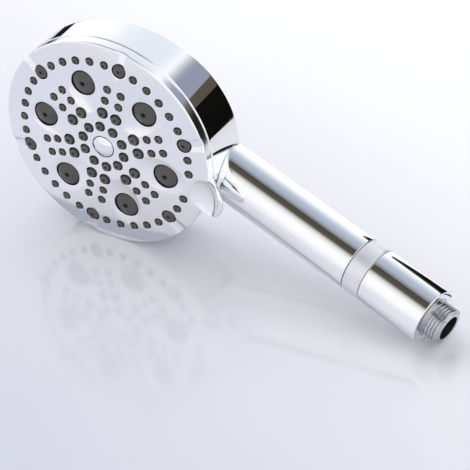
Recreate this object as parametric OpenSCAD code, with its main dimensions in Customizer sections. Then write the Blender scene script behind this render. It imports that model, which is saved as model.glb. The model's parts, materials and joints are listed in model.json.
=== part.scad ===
// Handheld shower head with a turning multi-spray face.
// It lies as it would on a shelf: on the head's side wall and the end of the handle.
// The spray face looks along -Y and the handle points along +X.

/* [Head] */
// Outer diameter of the head
head_d = 125; // [118:1:150]
// Height of the front cover's side wall
rim_h = 6; // [5:0.5:9]
// How far the spray face bulges at its centre
dome_h = 3.2; // [2:0.1:5]
// Rounding of the front cover's outer edge
edge_r = 0.7; // [0.3:0.1:1.5]
// Thickness of the front cover over the face
face_t = 3; // [2.4:0.1:4]
// Side wall thickness of the front cover and the rear housing
wall = 2.5; // [1.8:0.1:3]
// Depth of the rear housing's edge below the face, at the head's axis
back_depth = 27.4; // [26:0.5:36]
// Rise of that edge toward the handle, per millimetre of radius
back_slope = 0.1128; // [0.08:0.01:0.16]
// Radius of the rear housing's crowned back
crown_r = 240; // [180:5:320]

/* [Thumb tab] */
// Reach of the tab beyond the side wall
tab_reach = 12; // [8:0.5:14]
// Width of the tab where it leaves the rim
tab_w = 20; // [16:0.5:24]
// Height of the tab's lip in front of the rim
tab_rise = 4.4; // [2:0.1:6]
// Radius of the thumb scoop
scoop_r = 13.6; // [11:0.1:18]

/* [Nozzles] */
// Distance of the outer ring of nozzles from the side wall
outer_inset = 11.2; // [10:0.1:13]
// Pitch angle of the outer ring
outer_pitch = 10; // [10]
// Distance of the massage jets inside the outer ring
jet_inset = 13.5; // [12.5:0.1:16]
// Distance of the outer row pair inside the outer ring
row_inset = 14.2; // [13:0.1:15]
// Step from row pair to row pair
row_step = 7.3; // [6.5:0.1:8]
// Distance of the wide pair inside the inner row pair
pair_step = 8.4; // [7.8:0.1:9]
// Half the gap between the two nozzles of a pair
pair_half = 4.2; // [4:0.1:5]
// Radius of the ring of nozzles round the cap
core_ring_r = 12.8; // [12.4:0.1:14]
// Number of nozzles round the cap
core_count = 10; // [8:1:10]
// Number of spray sectors
sectors = 6; // [6]
// Radius of the small nozzle holes
small_hole_r = 2.35; // [1.8:0.05:2.6]
// Radius of the wide nozzle holes
wide_hole_r = 3.3; // [2.8:0.05:3.6]
// Radius of the nozzle holes round the cap
core_hole_r = 2.9; // [2.4:0.05:3.1]
// Radius of the massage jet holes
jet_hole_r = 7.4; // [6:0.1:8]
// Radius of the rim nozzle holes
edge_hole_r = 4.1; // [3.4:0.1:4.4]
// Gap between a nozzle and its hole in the cover
nozzle_gap = 0.4; // [0.2:0.05:0.6]
// How far the nozzle tips stand out of the face
tip_out = 0.9; // [0.4:0.1:1.5]
// Thickness of the nozzle mat
mat_t = 1.6; // [1.2:0.1:2]
// Depth of the dish round each massage jet
dish_depth = 1.2; // [0.6:0.1:1.6]
// Depth of the flutes where they run out at the rim
flute_depth = 2.2; // [1.4:0.1:2.6]
// Length of the flutes
flute_len = 18; // [14:0.5:22]
// Radius of the flutes
flute_r = 10; // [8:0.5:12]

/* [Waterway] */
// Depth of the water plate's front below the rim plane
plate_z = 5.8; // [5.6:0.1:7]
// Thickness of the water plate
plate_t = 1.8; // [1.5:0.1:2.5]
// Height of the turbine chamber
chamber_h = 4.8; // [4.5:0.1:6]
// Thickness of the selector disc
selector_t = 2.8; // [2.5:0.1:3.5]
// Thickness of the manifold
manifold_t = 3.5; // [3:0.1:4]
// Radius of the manifold
manifold_r = 46; // [44:0.5:48]
// Radius at which the water port sits
port_ring_r = 34; // [32:0.5:36]
// Radius of the selector's ports
port_r = 3.2; // [2.5:0.1:3.8]
// Angle between two click positions
click_step = 30; // [20:5:30]
// Clicks to each side of the middle
clicks = 2; // [1:1:2]
// Radius of the pivot bolt's shoulder
pivot_r = 3.5; // [3:0.1:4]
// Radius of the hub that the turbine spins on
hub_r = 8.5; // [7.5:0.1:9.5]
// Radius of the turbine
turbine_r = 39; // [36:0.5:40]
// Number of turbine vanes
vanes = 8; // [6:1:12]

/* [Handle] */
// Diameter of the handle
handle_d = 31; // [27:0.5:34]
// Depth of the handle's axis below the rim plane, at the head's side
handle_depth = 25.8; // [24:0.2:30]
// Angle by which the handle leans forward
lean = 11.2; // [8:0.1:14]
// Length of the handle's upper tube
tube_len = 90.5; // [80:0.5:120]
// Length of the window ring
ring_len = 10.4; // [8:0.1:14]
// Length of the lower sleeve
sleeve_len = 37.5; // [34:0.5:50]
// Width of the joint lines between the handle's pieces
joint_gap = 0.4; // [0.2:0.05:0.6]
// Wall thickness of the handle's chromed pieces
tube_wall = 2.2; // [1.8:0.1:2.8]
// Outer radius of the inner water tube
water_r = 8.5; // [7:0.1:9]
// Wall thickness of the inner water tube
water_wall = 1.5; // [1.2:0.1:2]

/* [Inlet] */
// Major diameter of the G 1/2 inlet thread
thread_d = 20.955; // [20.955]
// Pitch of the thread
thread_pitch = 1.814; // [1.814]
// Depth of the thread
thread_depth = 1.162; // [1.162]
// Length of the threaded nipple outside the sleeve
nipple_len = 10.4; // [9.5:0.1:14]
// Radius of the inlet bore
inlet_r = 6.9; // [6:0.1:7.2]

/* [Fits] */
// Radial clearance of a turning fit
run_fit = 0.05; // [0.03:0.01:0.08]
// Clearance between pieces that are assembled and stay put
seat_gap = 0.05; // [0.02:0.01:0.1]
// Gap between turning faces that don't touch
free_gap = 0.3; // [0.2:0.05:0.5]
// Travel of the click pin
click_travel = 0.7; // [0.5:0.1:0.9]
// Travel of the check valve's poppet
valve_travel = 1.5; // [1:0.1:2]

/* [Hidden] */
$fn = 96;
eps = 0.02;

// Head: radii and heights along its axis, the face's rim plane at 0
head_r = head_d / 2;
inner_r = head_r - wall;
dome_r = (head_r * head_r + dome_h * dome_h) / (2 * dome_h);
rotor_r = inner_r - 0.6;
mat_r = inner_r - 0.5;
outer_ring_r = head_r - outer_inset;
jet_ring_r = outer_ring_r - jet_inset;
row_out_r = outer_ring_r - row_inset;
row_in_r = row_out_r - row_step;
wide_r = row_in_r - pair_step;
boss_ring_r = (row_out_r + small_hole_r + outer_ring_r - edge_hole_r) / 2;
boss_r = 2.6;
screw_r = 1.2;
middle_wall_r = boss_ring_r + boss_r + 0.3;
cap_r = 6.2;
plate_back = -plate_z - plate_t;
chamber_back = plate_back - chamber_h;
selector_back = chamber_back - selector_t;
manifold_front = selector_back - free_gap;
manifold_back = manifold_front - manifold_t;
housing_front = -rim_h - free_gap;
flute_tilt = atan(flute_depth / flute_len);

// The crowned back is a ball whose centre is off the axis, so that the edge slopes
crown_k = (crown_r * crown_r - head_r * head_r) / (1 + back_slope * back_slope);
crown_x = back_slope * sqrt(crown_k);
crown_z = sqrt(crown_k) - back_depth;

// Handle: places along its axis, counted from the head's side
handle_r = handle_d / 2;
bore_r = handle_r - tube_wall;
ring_s = tube_len + joint_gap;
sleeve_s = ring_s + ring_len + joint_gap;
sleeve_end = sleeve_s + sleeve_len;
nipple_end = sleeve_end + nipple_len;
end_chamfer = 0.4;
stub_wall = 2.5;
spigot_r = bore_r - 0.1;
spigot_len = 22;
spigot_bore = spigot_r - 2.2;
socket_wall = 1.7;
socket_r = water_r + socket_wall;
socket_s = -4;
socket_end = 12;
collar_r = bore_r - 0.4;
collar_bore = collar_r - 2.5;
collar_s = ring_s - 12;
collar_end = ring_s + ring_len + 12;
collar_cap = 3;
filter_r = collar_bore - 0.2;
nipple_flange_r = bore_r - 0.4;
nipple_neck_r = thread_d / 2 + 0.75;
end_wall = 3.5;
flange_t = 3;
nipple_seal_d = 1.8;
flange_end = sleeve_end - end_wall - nipple_seal_d - 2 * seat_gap;
flange_s = flange_end - flange_t;
valve_end = flange_s - seat_gap;
valve_len = 12.5;
valve_s = valve_end - valve_len;
thread_r = thread_d / 2;
valve_bore = 6.4;

// Port, riser and housing screws
pipe_s = -(head_r - port_ring_r) / cos(lean);
pipe_r = 8.4;
pipe_bore = 5.6;
pipe_end = pipe_s - 9;
stub_s = pipe_end + sqrt(pow(handle_r - stub_wall - 0.5, 2) - pipe_r * pipe_r);
riser_r = 7.8;
riser_bore = 5;
sleeve_r = 6.5;
sleeve_seat = manifold_front - 3.7;
housing_screw_ring = 40;
housing_screw_angles = [90, 215, 325];

// Lying pose: the angle at which the head's side and the sleeve's end share one floor
lay_x = head_r + (sleeve_end - end_chamfer) * cos(lean);
lay_a = lay_x * lay_x + pow(handle_r * cos(lean), 2);
lay_c = head_r * head_r - handle_r * handle_r;
lay_q = (head_r * lay_x - sqrt(pow(head_r * lay_x, 2) - lay_a * lay_c)) / lay_a;
lie = asin(lay_q);

// The lowest centre point of the whole object becomes the origin
far_x = (head_r + nipple_end * cos(lean)) * cos(lie)
    + (thread_r - thread_depth) * sqrt(1 - pow(cos(lean) * cos(lie), 2));
front_y = -(-handle_depth + (sleeve_end - end_chamfer) * sin(lean) + handle_r * cos(lean));
stub_y = handle_depth - stub_s * sin(lean) + handle_r;
shift_x = -(far_x - head_r) / 2;
shift_y = -(front_y + stub_y) / 2;

// Height of the face's domed front and of the mat's back at radius r
function face_z(r) = dome_h - dome_r + sqrt(dome_r * dome_r - r * r);
function mat_back(r) = face_z(r) - face_t - seat_gap - mat_t;

// Points on the domed surface between two radii, moved back by t
function dome_line(r0, r1, t, n = 10) =
    [for (i = [0 : n]) let (r = r0 + (r1 - r0) * i / n) [r, face_z(r) - t]];

function sector_angles() = [for (k = [0 : sectors - 1]) k * 360 / sectors];
function click_angles() = [for (k = [-clicks : clicks]) k * click_step];

// Small nozzles of the outer ring, without those replaced by a rim nozzle or the scoop
function outer_angles() =
    [for (a = [outer_pitch : outer_pitch : 359]) if ((a + 180 / sectors) % (360 / sectors) > 1) a];

module place_head() {
    translate([shift_x, shift_y, head_r]) rotate([0, lie, 0]) rotate([90, 0, 0]) children();
}

module place_handle() {
    place_head() handle_axis() children();
}

module handle_axis() {
    translate([head_r, 0, -handle_depth]) rotate([0, 90 - lean, 0]) children();
}

module at_polar(r, a, z = 0) {
    rotate([0, 0, a]) translate([r, 0, z]) children();
}

// Children at both places of a pair, on the line at angle a
module at_pair(r, a) {
    rotate([0, 0, a]) for (side = [-1, 1]) translate([r, side * pair_half, 0]) children();
}

module small_places() {
    for (a = outer_angles()) at_polar(outer_ring_r, a) nozzle_at(outer_ring_r) children();
    for (a = sector_angles())
        for (r = [row_in_r, row_out_r])
            at_pair(r, a + 180 / sectors) nozzle_at(r) children();
}

module wide_places() {
    for (a = sector_angles()) at_pair(wide_r, a + 180 / sectors) nozzle_at(wide_r) children();
}

module core_places() {
    for (k = [0 : core_count - 1])
        at_polar(core_ring_r, k * 360 / core_count) nozzle_at(core_ring_r) children();
}

// Lifts a nozzle to the face's height at radius r
module nozzle_at(r) {
    translate([0, 0, face_z(r)]) children();
}

module jet_places() {
    for (a = sector_angles()) at_polar(jet_ring_r, a, face_z(jet_ring_r)) children();
}

module rim_places() {
    for (a = sector_angles())
        at_polar(outer_ring_r, a + 180 / sectors, face_z(outer_ring_r)) children();
}

module boss_places(z) {
    for (a = sector_angles()) at_polar(boss_ring_r, a + 180 / sectors, z) children();
}

module ring(r_out, r_in, h) {
    difference() {
        cylinder(r = r_out, h = h);
        translate([0, 0, -1]) cylinder(r = r_in, h = h + 2);
    }
}

module o_ring(r, d) {
    rotate_extrude() translate([r, 0]) circle(d = d);
}

// Helical spring along Z, as a swept wire of eight sides
module coil_spring(r, wire, h, turns) {
    sides = 8;
    steps = turns * 14;
    rise = h - wire;
    pts = [for (i = [0 : steps], j = [0 : sides - 1])
        let (a = 360 * turns * i / steps, b = 360 * j / sides,
             q = r + wire / 2 * cos(b))
        [q * cos(a), q * sin(a), wire / 2 + rise * i / steps + wire / 2 * sin(b)]];
    skin = [for (i = [0 : steps - 1], j = [0 : sides - 1])
        let (k = (j + 1) % sides)
        [i * sides + j, i * sides + k, (i + 1) * sides + k, (i + 1) * sides + j]];
    start = [for (j = [sides - 1 : -1 : 0]) j];
    finish = [for (j = [0 : sides - 1]) steps * sides + j];
    polyhedron(points = pts, faces = concat(skin, [start, finish]), convexity = 8);
}

// Cover plate and side wall in one revolved section
module face_shell() {
    rotate_extrude() polygon(concat(
        dome_line(cap_r + seat_gap, head_r - edge_r, 0),
        [[head_r - edge_r * 0.3, -edge_r * 0.3], [head_r, -edge_r], [head_r, -rim_h],
         [inner_r, -rim_h]],
        dome_line(inner_r, cap_r + seat_gap, face_t)));
}

// Rounded tongue that grows out of the rim and sweeps forward to its lip
module thumb_tab() {
    tip_r = 6;
    tip_x = head_r + tab_reach - tip_r;
    intersection() {
        translate([0, 0, -rim_h]) linear_extrude(rim_h + tab_rise + 1)
            hull() {
                translate([tip_x, 0]) circle(r = tip_r, $fn = 32);
                translate([inner_r + 1, -tab_w / 2]) square([0.5, tab_w]);
            }
        rotate([90, 0, 0]) linear_extrude(tab_w + 2, center = true) polygon([
            [inner_r + 0.5, -rim_h], [head_r + 0.5, -rim_h],
            [head_r + tab_reach * 0.5, -rim_h * 0.7], [head_r + tab_reach * 0.82, -rim_h * 0.2],
            [head_r + tab_reach * 0.98, tab_rise * 0.5], [head_r + tab_reach, tab_rise * 0.85],
            [head_r + tab_reach * 0.94, tab_rise], [head_r + tab_reach * 0.8, tab_rise],
            [head_r, 0.6], [inner_r + 0.5, 0]]);
    }
}

module thumb_scoop() {
    translate([head_r - 1.8, 0, scoop_r - 1.5]) sphere(r = scoop_r);
}

// Flutes deepen toward the rim and end on the face at flute_len from the edge
module rim_flutes() {
    for (a = sector_angles())
        rotate([0, 0, a + 180 / sectors])
            translate([head_r, 0, flute_r - flute_depth])
                rotate([0, -90 + flute_tilt, 0])
                    translate([0, 0, -6]) cylinder(r = flute_r, h = flute_len + 12);
}

module jet_dishes() {
    dish_r = 42;
    jet_places() translate([0, 0, dish_r - dish_depth]) sphere(r = dish_r);
}

module through(r) {
    translate([0, 0, -30]) cylinder(r = r, h = 60);
}

module spray_face() {
    color("silver") place_head() {
        difference() {
            union() {
                face_shell();
                thumb_tab();
                boss_places(-plate_z + seat_gap) cylinder(r = boss_r, h = plate_z);
            }
            thumb_scoop();
            rim_flutes();
            jet_dishes();
            small_places() through(small_hole_r);
            wide_places() through(wide_hole_r);
            core_places() through(core_hole_r);
            jet_places() through(jet_hole_r);
            rim_places() through(edge_hole_r);
            boss_places(-plate_z - 1) cylinder(r = screw_r, h = plate_z);
        }
    }
}

// One soft nozzle: a tapered tip that rises from the mat through the cover
module soft_tip(r) {
    rise = face_t + tip_out;
    translate([0, 0, -face_t - seat_gap - mat_t / 2])
        cylinder(r1 = r, r2 = r * 0.82, h = rise + mat_t / 2);
}

module nozzle_mat() {
    color("dimgray") place_head() {
        difference() {
            union() {
                difference() {
                    rotate_extrude() polygon(concat(
                        dome_line(cap_r + 1, mat_r, face_t + seat_gap),
                        dome_line(mat_r, cap_r + 1, face_t + seat_gap + mat_t)));
                    jet_places() through(jet_hole_r);
                    rim_places() through(edge_hole_r);
                    boss_places(-plate_z) cylinder(r = boss_r + 0.2, h = 2 * plate_z);
                }
                small_places() soft_tip(small_hole_r - nozzle_gap);
                wide_places() soft_tip(wide_hole_r - 2 * nozzle_gap);
                core_places() soft_tip(core_hole_r - 2 * nozzle_gap);
            }
            small_places() through(0.5);
            wide_places() through(0.9);
            core_places() through(0.8);
        }
    }
}

// Hard nozzle with a flange under the mat and a crowned end over the face
module hard_nozzle(r, flange, ring_r, bore, sink) {
    base = -plate_z + seat_gap;
    under_mat = mat_back(ring_r + flange) - seat_gap;
    top = face_z(ring_r) - sink + tip_out;
    difference() {
        union() {
            translate([0, 0, base]) cylinder(r = flange, h = under_mat - base);
            translate([0, 0, base]) cylinder(r = r, h = top - base);
            intersection() {
                translate([0, 0, base]) cylinder(r = r, h = 20);
                translate([0, 0, top + r * 0.2 - 2.6 * r]) sphere(r = 2.6 * r);
            }
        }
        through(bore);
    }
}

module jet_nozzles() {
    color("dimgray") place_head()
        for (a = sector_angles())
            at_polar(jet_ring_r, a)
                hard_nozzle(jet_hole_r - nozzle_gap, jet_hole_r + 0.8, jet_ring_r, 1.3, dish_depth);
}

module rim_nozzles() {
    sink = flute_depth * (flute_len - outer_inset) / flute_len;
    color("dimgray") place_head()
        for (a = sector_angles())
            at_polar(outer_ring_r, a + 180 / sectors)
                hard_nozzle(edge_hole_r - nozzle_gap / 2, edge_hole_r + 0.6, outer_ring_r, 0.9, sink);
}

// Chromed cap that snaps into the cover's centre hole
module centre_cap() {
    cap_ball = 14;
    lip = face_z(cap_r);
    color("silver") place_head()
        translate([0, 0, lip - face_t + 0.2]) {
            cylinder(r = cap_r, h = face_t - 0.2);
            intersection() {
                cylinder(r = cap_r, h = face_t + 3);
                translate([0, 0, face_t + 1.2 - cap_ball]) sphere(r = cap_ball);
            }
        }
}

// Walls on the water plate: rings part the spray zones, sockets hold the jets
module zone_walls() {
    socket_in = jet_hole_r + 0.8 + seat_gap;
    for (r = [core_ring_r + core_hole_r + 0.2, middle_wall_r, mat_r - 1.6])
        translate([0, 0, -plate_z - eps])
            ring(r + 1.2, r, plate_z + mat_back(r + 1.2) - seat_gap + eps);
    for (a = sector_angles())
        at_polar(jet_ring_r, a, -plate_z - eps)
            ring(socket_in + 1, socket_in, plate_z + mat_back(middle_wall_r + 1.2) - seat_gap - 0.15);
}

// The walls stop short of the rim nozzles' flanges
module rim_relief() {
    for (a = sector_angles())
        at_polar(outer_ring_r, a + 180 / sectors, -plate_z - 1)
            cylinder(r = outer_ring_r - middle_wall_r + 0.5, h = plate_z);
}

// Channel plate behind the mat, with the hub that the turbine spins on
module water_plate() {
    color("whitesmoke") place_head() {
        difference() {
            union() {
                translate([0, 0, plate_back]) cylinder(r = mat_r, h = plate_t);
                translate([0, 0, chamber_back]) ring(rotor_r, rotor_r - 1.9, chamber_h + eps);
                translate([0, 0, chamber_back]) cylinder(r = hub_r, h = chamber_h + eps);
                boss_places(chamber_back) cylinder(r = boss_r + 0.6, h = chamber_h + eps);
            }
            for (a = sector_angles()) at_polar(jet_ring_r - 3, a) through(2.4);
            for (a = sector_angles()) at_polar(wide_r, a + 180 / sectors) through(2);
            for (a = sector_angles()) at_polar(outer_ring_r, a + 90 / sectors) through(1.8);
            through(pivot_r + run_fit);
            boss_places(chamber_back - 1) cylinder(r = screw_r + 0.3, h = 20);
        }
        difference() {
            zone_walls();
            rim_relief();
        }
    }
}

module chamber_seal() {
    color("dimgray") place_head()
        translate([0, 0, chamber_back - 0.95]) ring(rotor_r - 2.6, rotor_r - 4.2, 0.9);
}

module click_pockets() {
    nose_r = 2;
    for (a = click_angles())
        at_polar(port_ring_r, 180 + a, selector_back + click_travel - nose_r)
            sphere(r = nose_r + 0.1);
}

// Disc that turns against the port sleeve: one opening for each click position
module selector_disc() {
    color("lightgray") place_head() {
        difference() {
            union() {
                translate([0, 0, selector_back]) cylinder(r = rotor_r, h = selector_t - seat_gap);
                at_polar(manifold_r + 5, 90, selector_back - 3)
                    translate([-2, -2, 0]) cube([4, 4, 3 + eps]);
            }
            through(pivot_r + run_fit);
            for (a = click_angles()) at_polar(port_ring_r, a) through(port_r);
            boss_places(selector_back - 1) cylinder(r = screw_r + 0.3, h = 20);
            boss_places(selector_back - 1) cylinder(r = 2.6, h = 2.4);
            translate([0, 0, chamber_back - 1]) ring(rotor_r - 2.5, rotor_r - 4.3, 2);
            click_pockets();
        }
    }
}

// Six screws clamp the selector disc and the water plate to the cover
module face_screws() {
    color("gray") place_head()
        boss_places(selector_back + 0.1) {
            difference() {
                cylinder(r = 2.4, h = 1.2);
                translate([0, 0, -1]) cylinder(r = 1, h = 1.8, $fn = 6);
            }
            cylinder(r = screw_r - 0.05, h = -selector_back - 3.5);
        }
}

// Wheel that the massage water spins: its shutter plate, which hangs lowest, opens the jets in turn
module turbine() {
    height = chamber_h - 0.8;
    shutter = 150;
    color("lightgray") place_head()
        translate([0, 0, chamber_back + 0.4]) {
            difference() {
                union() {
                    cylinder(r = hub_r + 3, h = height);
                    for (k = [0 : vanes - 1])
                        rotate([0, 0, k * 360 / vanes])
                            translate([hub_r + 1.5, -0.6, 0])
                                cube([turbine_r - 3 - hub_r, 1.2, height]);
                    rotate([0, 0, lie - 90 - shutter / 2]) rotate_extrude(angle = shutter)
                        translate([hub_r + 1, height - 1]) square([turbine_r - hub_r - 1, 1]);
                }
                through(hub_r + run_fit);
            }
        }
}

// Shoulder bolt in the manifold's boss: the spray face turns on it
module pivot_bolt() {
    color("gray") place_head() {
        difference() {
            union() {
                translate([0, 0, manifold_front + seat_gap])
                    cylinder(r = pivot_r, h = -manifold_front - plate_z + 1.1);
                translate([0, 0, manifold_front - 9]) cylinder(r = 2.5, h = 10);
                translate([0, 0, -plate_z + 1.1]) cylinder(r = 5, h = 2.6);
            }
            translate([0, 0, -plate_z + 1.8]) cylinder(r = 2, h = 3, $fn = 6);
        }
    }
}

module pivot_washer() {
    color("whitesmoke") place_head()
        translate([0, 0, -plate_z + 0.1]) ring(5.5, pivot_r + seat_gap, 0.95);
}

// Upright part of the waterway, from the inlet pipe to the port
module riser(r, top) {
    port_z = -handle_depth + pipe_s * sin(lean);
    translate([port_ring_r, 0, port_z]) cylinder(r = r, h = top - port_z);
}

// Fixed waterway: inlet pipe from the handle, riser to the port, disc behind the selector
module manifold() {
    color("lightgray") place_head() {
        difference() {
            union() {
                translate([0, 0, manifold_back]) cylinder(r = manifold_r, h = manifold_t);
                translate([0, 0, manifold_front - 10]) cylinder(r = 6, h = 9);
                at_polar(port_ring_r, 180, manifold_front - 9) cylinder(r = 3.6, h = 8);
                riser(riser_r, manifold_back + eps);
                difference() {
                    handle_axis() {
                        translate([0, 0, pipe_end]) cylinder(r = pipe_r, h = socket_s - pipe_end + 1);
                        translate([0, 0, socket_s]) cylinder(r = socket_r, h = socket_end - socket_s);
                    }
                    translate([0, 0, manifold_front - 0.05]) cylinder(r = inner_r, h = 40);
                }
            }
            riser(riser_bore, manifold_front);
            translate([0, 0, manifold_front - 9.2]) cylinder(r = 2.5 + seat_gap, h = 20);
            at_polar(port_ring_r, 0, sleeve_seat - 4) cylinder(r = sleeve_r + seat_gap, h = 20);
            at_polar(port_ring_r, 180, manifold_front - 8) cylinder(r = 2 + run_fit, h = 20);
            handle_axis() {
                translate([0, 0, pipe_s]) cylinder(r = pipe_bore, h = socket_end - pipe_s + 1);
                translate([0, 0, socket_s + 3]) cylinder(r = water_r + 0.1, h = socket_end - socket_s);
            }
            for (a = housing_screw_angles)
                at_polar(housing_screw_ring, a) {
                    translate([0, 0, manifold_back - 1]) cylinder(r = 1.8, h = 10);
                    translate([0, 0, manifold_front - 1.9]) cylinder(r = 3.3, h = 4);
                }
        }
    }
}

// Rubber cup that the spring holds against the selector disc
module port_sleeve() {
    color("black") place_head()
        at_polar(port_ring_r, 0, sleeve_seat) difference() {
            cylinder(r = sleeve_r, h = selector_back - sleeve_seat - seat_gap);
            translate([0, 0, -1]) cylinder(r = 4.2, h = 10);
        }
}

module port_spring() {
    color("silver") place_head()
        at_polar(port_ring_r, 0, sleeve_seat - 3.95) coil_spring(5.6, 0.8, 3.9, 3);
}

module click_pin() {
    nose_r = 2;
    nose_z = selector_back - seat_gap - nose_r;
    color("gray") place_head()
        at_polar(port_ring_r, 180) {
            translate([0, 0, nose_z]) sphere(r = nose_r);
            translate([0, 0, nose_z - 1.9]) cylinder(r = nose_r, h = 1.9);
        }
}

module click_spring() {
    spring_foot = manifold_front - 7.95;
    pin_foot = selector_back - seat_gap - 3.9;
    color("silver") place_head()
        at_polar(port_ring_r, 180, spring_foot)
            coil_spring(1.5, 0.45, pin_foot - spring_foot - seat_gap, 5);
}

// Screws that hold the manifold to the housing's posts
module housing_screws() {
    color("gray") place_head()
        for (a = housing_screw_angles)
            at_polar(housing_screw_ring, a, manifold_front - 1.85) {
                difference() {
                    cylinder(r = 3, h = 1.5);
                    translate([0, 0, 0.6]) cylinder(r = 1.2, h = 2, $fn = 6);
                }
                translate([0, 0, -7]) cylinder(r = 1.25, h = 7.1);
            }
}

// Solid that the head's outside is cut from, offset inward by t
module head_solid(t) {
    intersection() {
        translate([0, 0, -90]) cylinder(r = head_r - t, h = 90 + housing_front);
        translate([crown_x, 0, crown_z]) sphere(r = crown_r - t);
    }
}

module stub(r) {
    handle_axis() translate([0, 0, stub_s]) {
        cylinder(r = r, h = -stub_s + 8);
        sphere(r = r);
    }
}

// Cylinder in line with the head's side wall, endless for the cuts made here
module side_cylinder(r) {
    translate([0, 0, -90]) cylinder(r = r, h = 130);
}

// Stop blocks for the selector's lug
module turn_stops() {
    lug_half = 2.2;
    stop_r = manifold_r + 2.6;
    reach = clicks * click_step + asin((lug_half + 2) / stop_r);
    for (side = [-1, 1])
        rotate([0, 0, 90 + side * reach])
            translate([stop_r, side * 1.2 - 1, -60])
                cube([inner_r - stop_r + 1, 2, 60 + manifold_front]);
}

module rear_housing() {
    color("silver") place_head() {
        difference() {
            union() {
                head_solid(0);
                intersection() {
                    stub(handle_r);
                    side_cylinder(head_r);
                    translate([0, 0, -90]) cylinder(r = head_r + 1, h = 90 + housing_front);
                }
            }
            head_solid(wall);
            difference() {
                stub(handle_r - stub_wall);
                difference() {
                    side_cylinder(head_r + 20);
                    side_cylinder(inner_r);
                }
            }
            translate([0, 0, housing_front - 2]) cylinder(r = inner_r, h = 3);
            handle_axis() translate([0, 0, -10]) cylinder(r = spigot_bore, h = 40);
        }
        difference() {
            handle_axis() translate([0, 0, -4]) ring(spigot_r, spigot_bore, spigot_len + 4);
            side_cylinder(head_r - 0.6);
        }
        intersection() {
            head_solid(wall / 2);
            union() {
                turn_stops();
                for (a = housing_screw_angles)
                    at_polar(housing_screw_ring, a, -60) difference() {
                        cylinder(r = 3.6, h = 60 + manifold_back - seat_gap);
                        translate([0, 0, 60 + manifold_back - 6]) cylinder(r = 1.3, h = 10);
                    }
            }
        }
    }
}

module handle_tube() {
    color("silver") place_head() difference() {
        handle_axis() difference() {
            translate([0, 0, -8]) cylinder(r = handle_r, h = tube_len + 8);
            translate([0, 0, -9]) cylinder(r = bore_r, h = tube_len + 10);
        }
        side_cylinder(head_r + seat_gap);
    }
}

module water_tube() {
    start = socket_s + 3.2;
    color("lightgray") place_handle()
        translate([0, 0, start])
            ring(water_r, water_r - water_wall, collar_s + collar_cap - 0.3 - start);
}

// O-rings at both ends of the water tube
module water_tube_seals() {
    color("black") place_handle() {
        translate([0, 0, socket_end + 1.1]) o_ring(water_r + 0.95, 1.8);
        translate([0, 0, collar_s - 1.1]) o_ring(water_r + 0.95, 1.8);
    }
}

// Inner collar that joins the tube to the sleeve and carries the filter
module coupling_collar() {
    groove_r = collar_r - 1.3;
    color("gainsboro") place_handle() difference() {
        translate([0, 0, collar_s]) cylinder(r = collar_r, h = collar_end - collar_s);
        translate([0, 0, collar_s + collar_cap]) cylinder(r = collar_bore, h = collar_end);
        translate([0, 0, collar_s - 1]) cylinder(r = water_r + 0.1, h = collar_end);
        for (s = [collar_s + 6, collar_end - 6])
            translate([0, 0, s - 1]) ring(collar_r + 1, groove_r, 2);
        for (a = [0 : 60 : 300])
            rotate([0, 0, a]) translate([0, -3, ring_s + 1.5]) cube([30, 6, ring_len - 3]);
    }
}

module collar_seals() {
    color("black") place_handle()
        for (s = [collar_s + 6, collar_end - 6])
            translate([0, 0, s]) o_ring(collar_r - 0.4, 1.6);
}

module window_ring() {
    color("white") place_handle()
        translate([0, 0, ring_s]) ring(handle_r - 0.1, collar_r + 0.1, ring_len);
}

module filter_cage() {
    cage_s = collar_s + collar_cap + 0.2;
    cage_len = collar_end - cage_s - 0.5;
    color("white") place_handle() translate([0, 0, cage_s]) {
        ring(filter_r, filter_r - 2.4, 3);
        translate([0, 0, cage_len - 3]) ring(filter_r, filter_r - 2.4, 3);
        for (a = [0 : 60 : 300])
            rotate([0, 0, a + 30]) translate([filter_r - 1.3, -1, 0]) cube([1.2, 2, cage_len]);
    }
}

module filter_screen() {
    cage_s = collar_s + collar_cap + 0.2;
    cage_len = collar_end - cage_s - 0.5;
    color("lightgray") place_handle()
        translate([0, 0, cage_s + 0.5]) ring(filter_r - 2.45, filter_r - 2.85, cage_len - 1);
}

module lower_sleeve() {
    color("silver") place_handle() difference() {
        rotate_extrude() polygon([
            [0, sleeve_s], [handle_r - end_chamfer / 2, sleeve_s], [handle_r, sleeve_s + end_chamfer / 2],
            [handle_r, sleeve_end - end_chamfer], [handle_r - end_chamfer, sleeve_end],
            [0, sleeve_end]]);
        translate([0, 0, sleeve_s - 1]) cylinder(r = bore_r, h = sleeve_len - end_wall + 1);
        translate([0, 0, sleeve_s]) cylinder(r = nipple_neck_r + seat_gap, h = sleeve_len + 1);
    }
}

// Thread drawn as rings with flat crests, at the true pitch and diameters
module thread_rings(s, length) {
    root = thread_r - thread_depth;
    crest = thread_pitch * 0.18;
    count = floor(length / thread_pitch);
    for (k = [0 : count - 1])
        rotate_extrude() polygon([
            [root - 0.5, s + k * thread_pitch],
            [root, s + k * thread_pitch + crest / 2],
            [thread_r, s + (k + 0.5) * thread_pitch - crest],
            [thread_r, s + (k + 0.5) * thread_pitch + crest],
            [root, s + (k + 1) * thread_pitch - crest / 2],
            [root - 0.5, s + (k + 1) * thread_pitch]]);
}

module inlet_nipple() {
    root = thread_r - thread_depth;
    thread_s = sleeve_end + 1.1;
    color("silver") place_handle() difference() {
        union() {
            translate([0, 0, flange_s]) cylinder(r = nipple_flange_r, h = flange_t);
            translate([0, 0, flange_s]) cylinder(r = nipple_neck_r, h = sleeve_end - flange_s);
            translate([0, 0, flange_s]) cylinder(r = root, h = nipple_end - flange_s);
            thread_rings(thread_s, nipple_end - thread_s);
        }
        translate([0, 0, flange_s - 1]) cylinder(r = inlet_r, h = nipple_end - flange_s + 2);
    }
}

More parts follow.
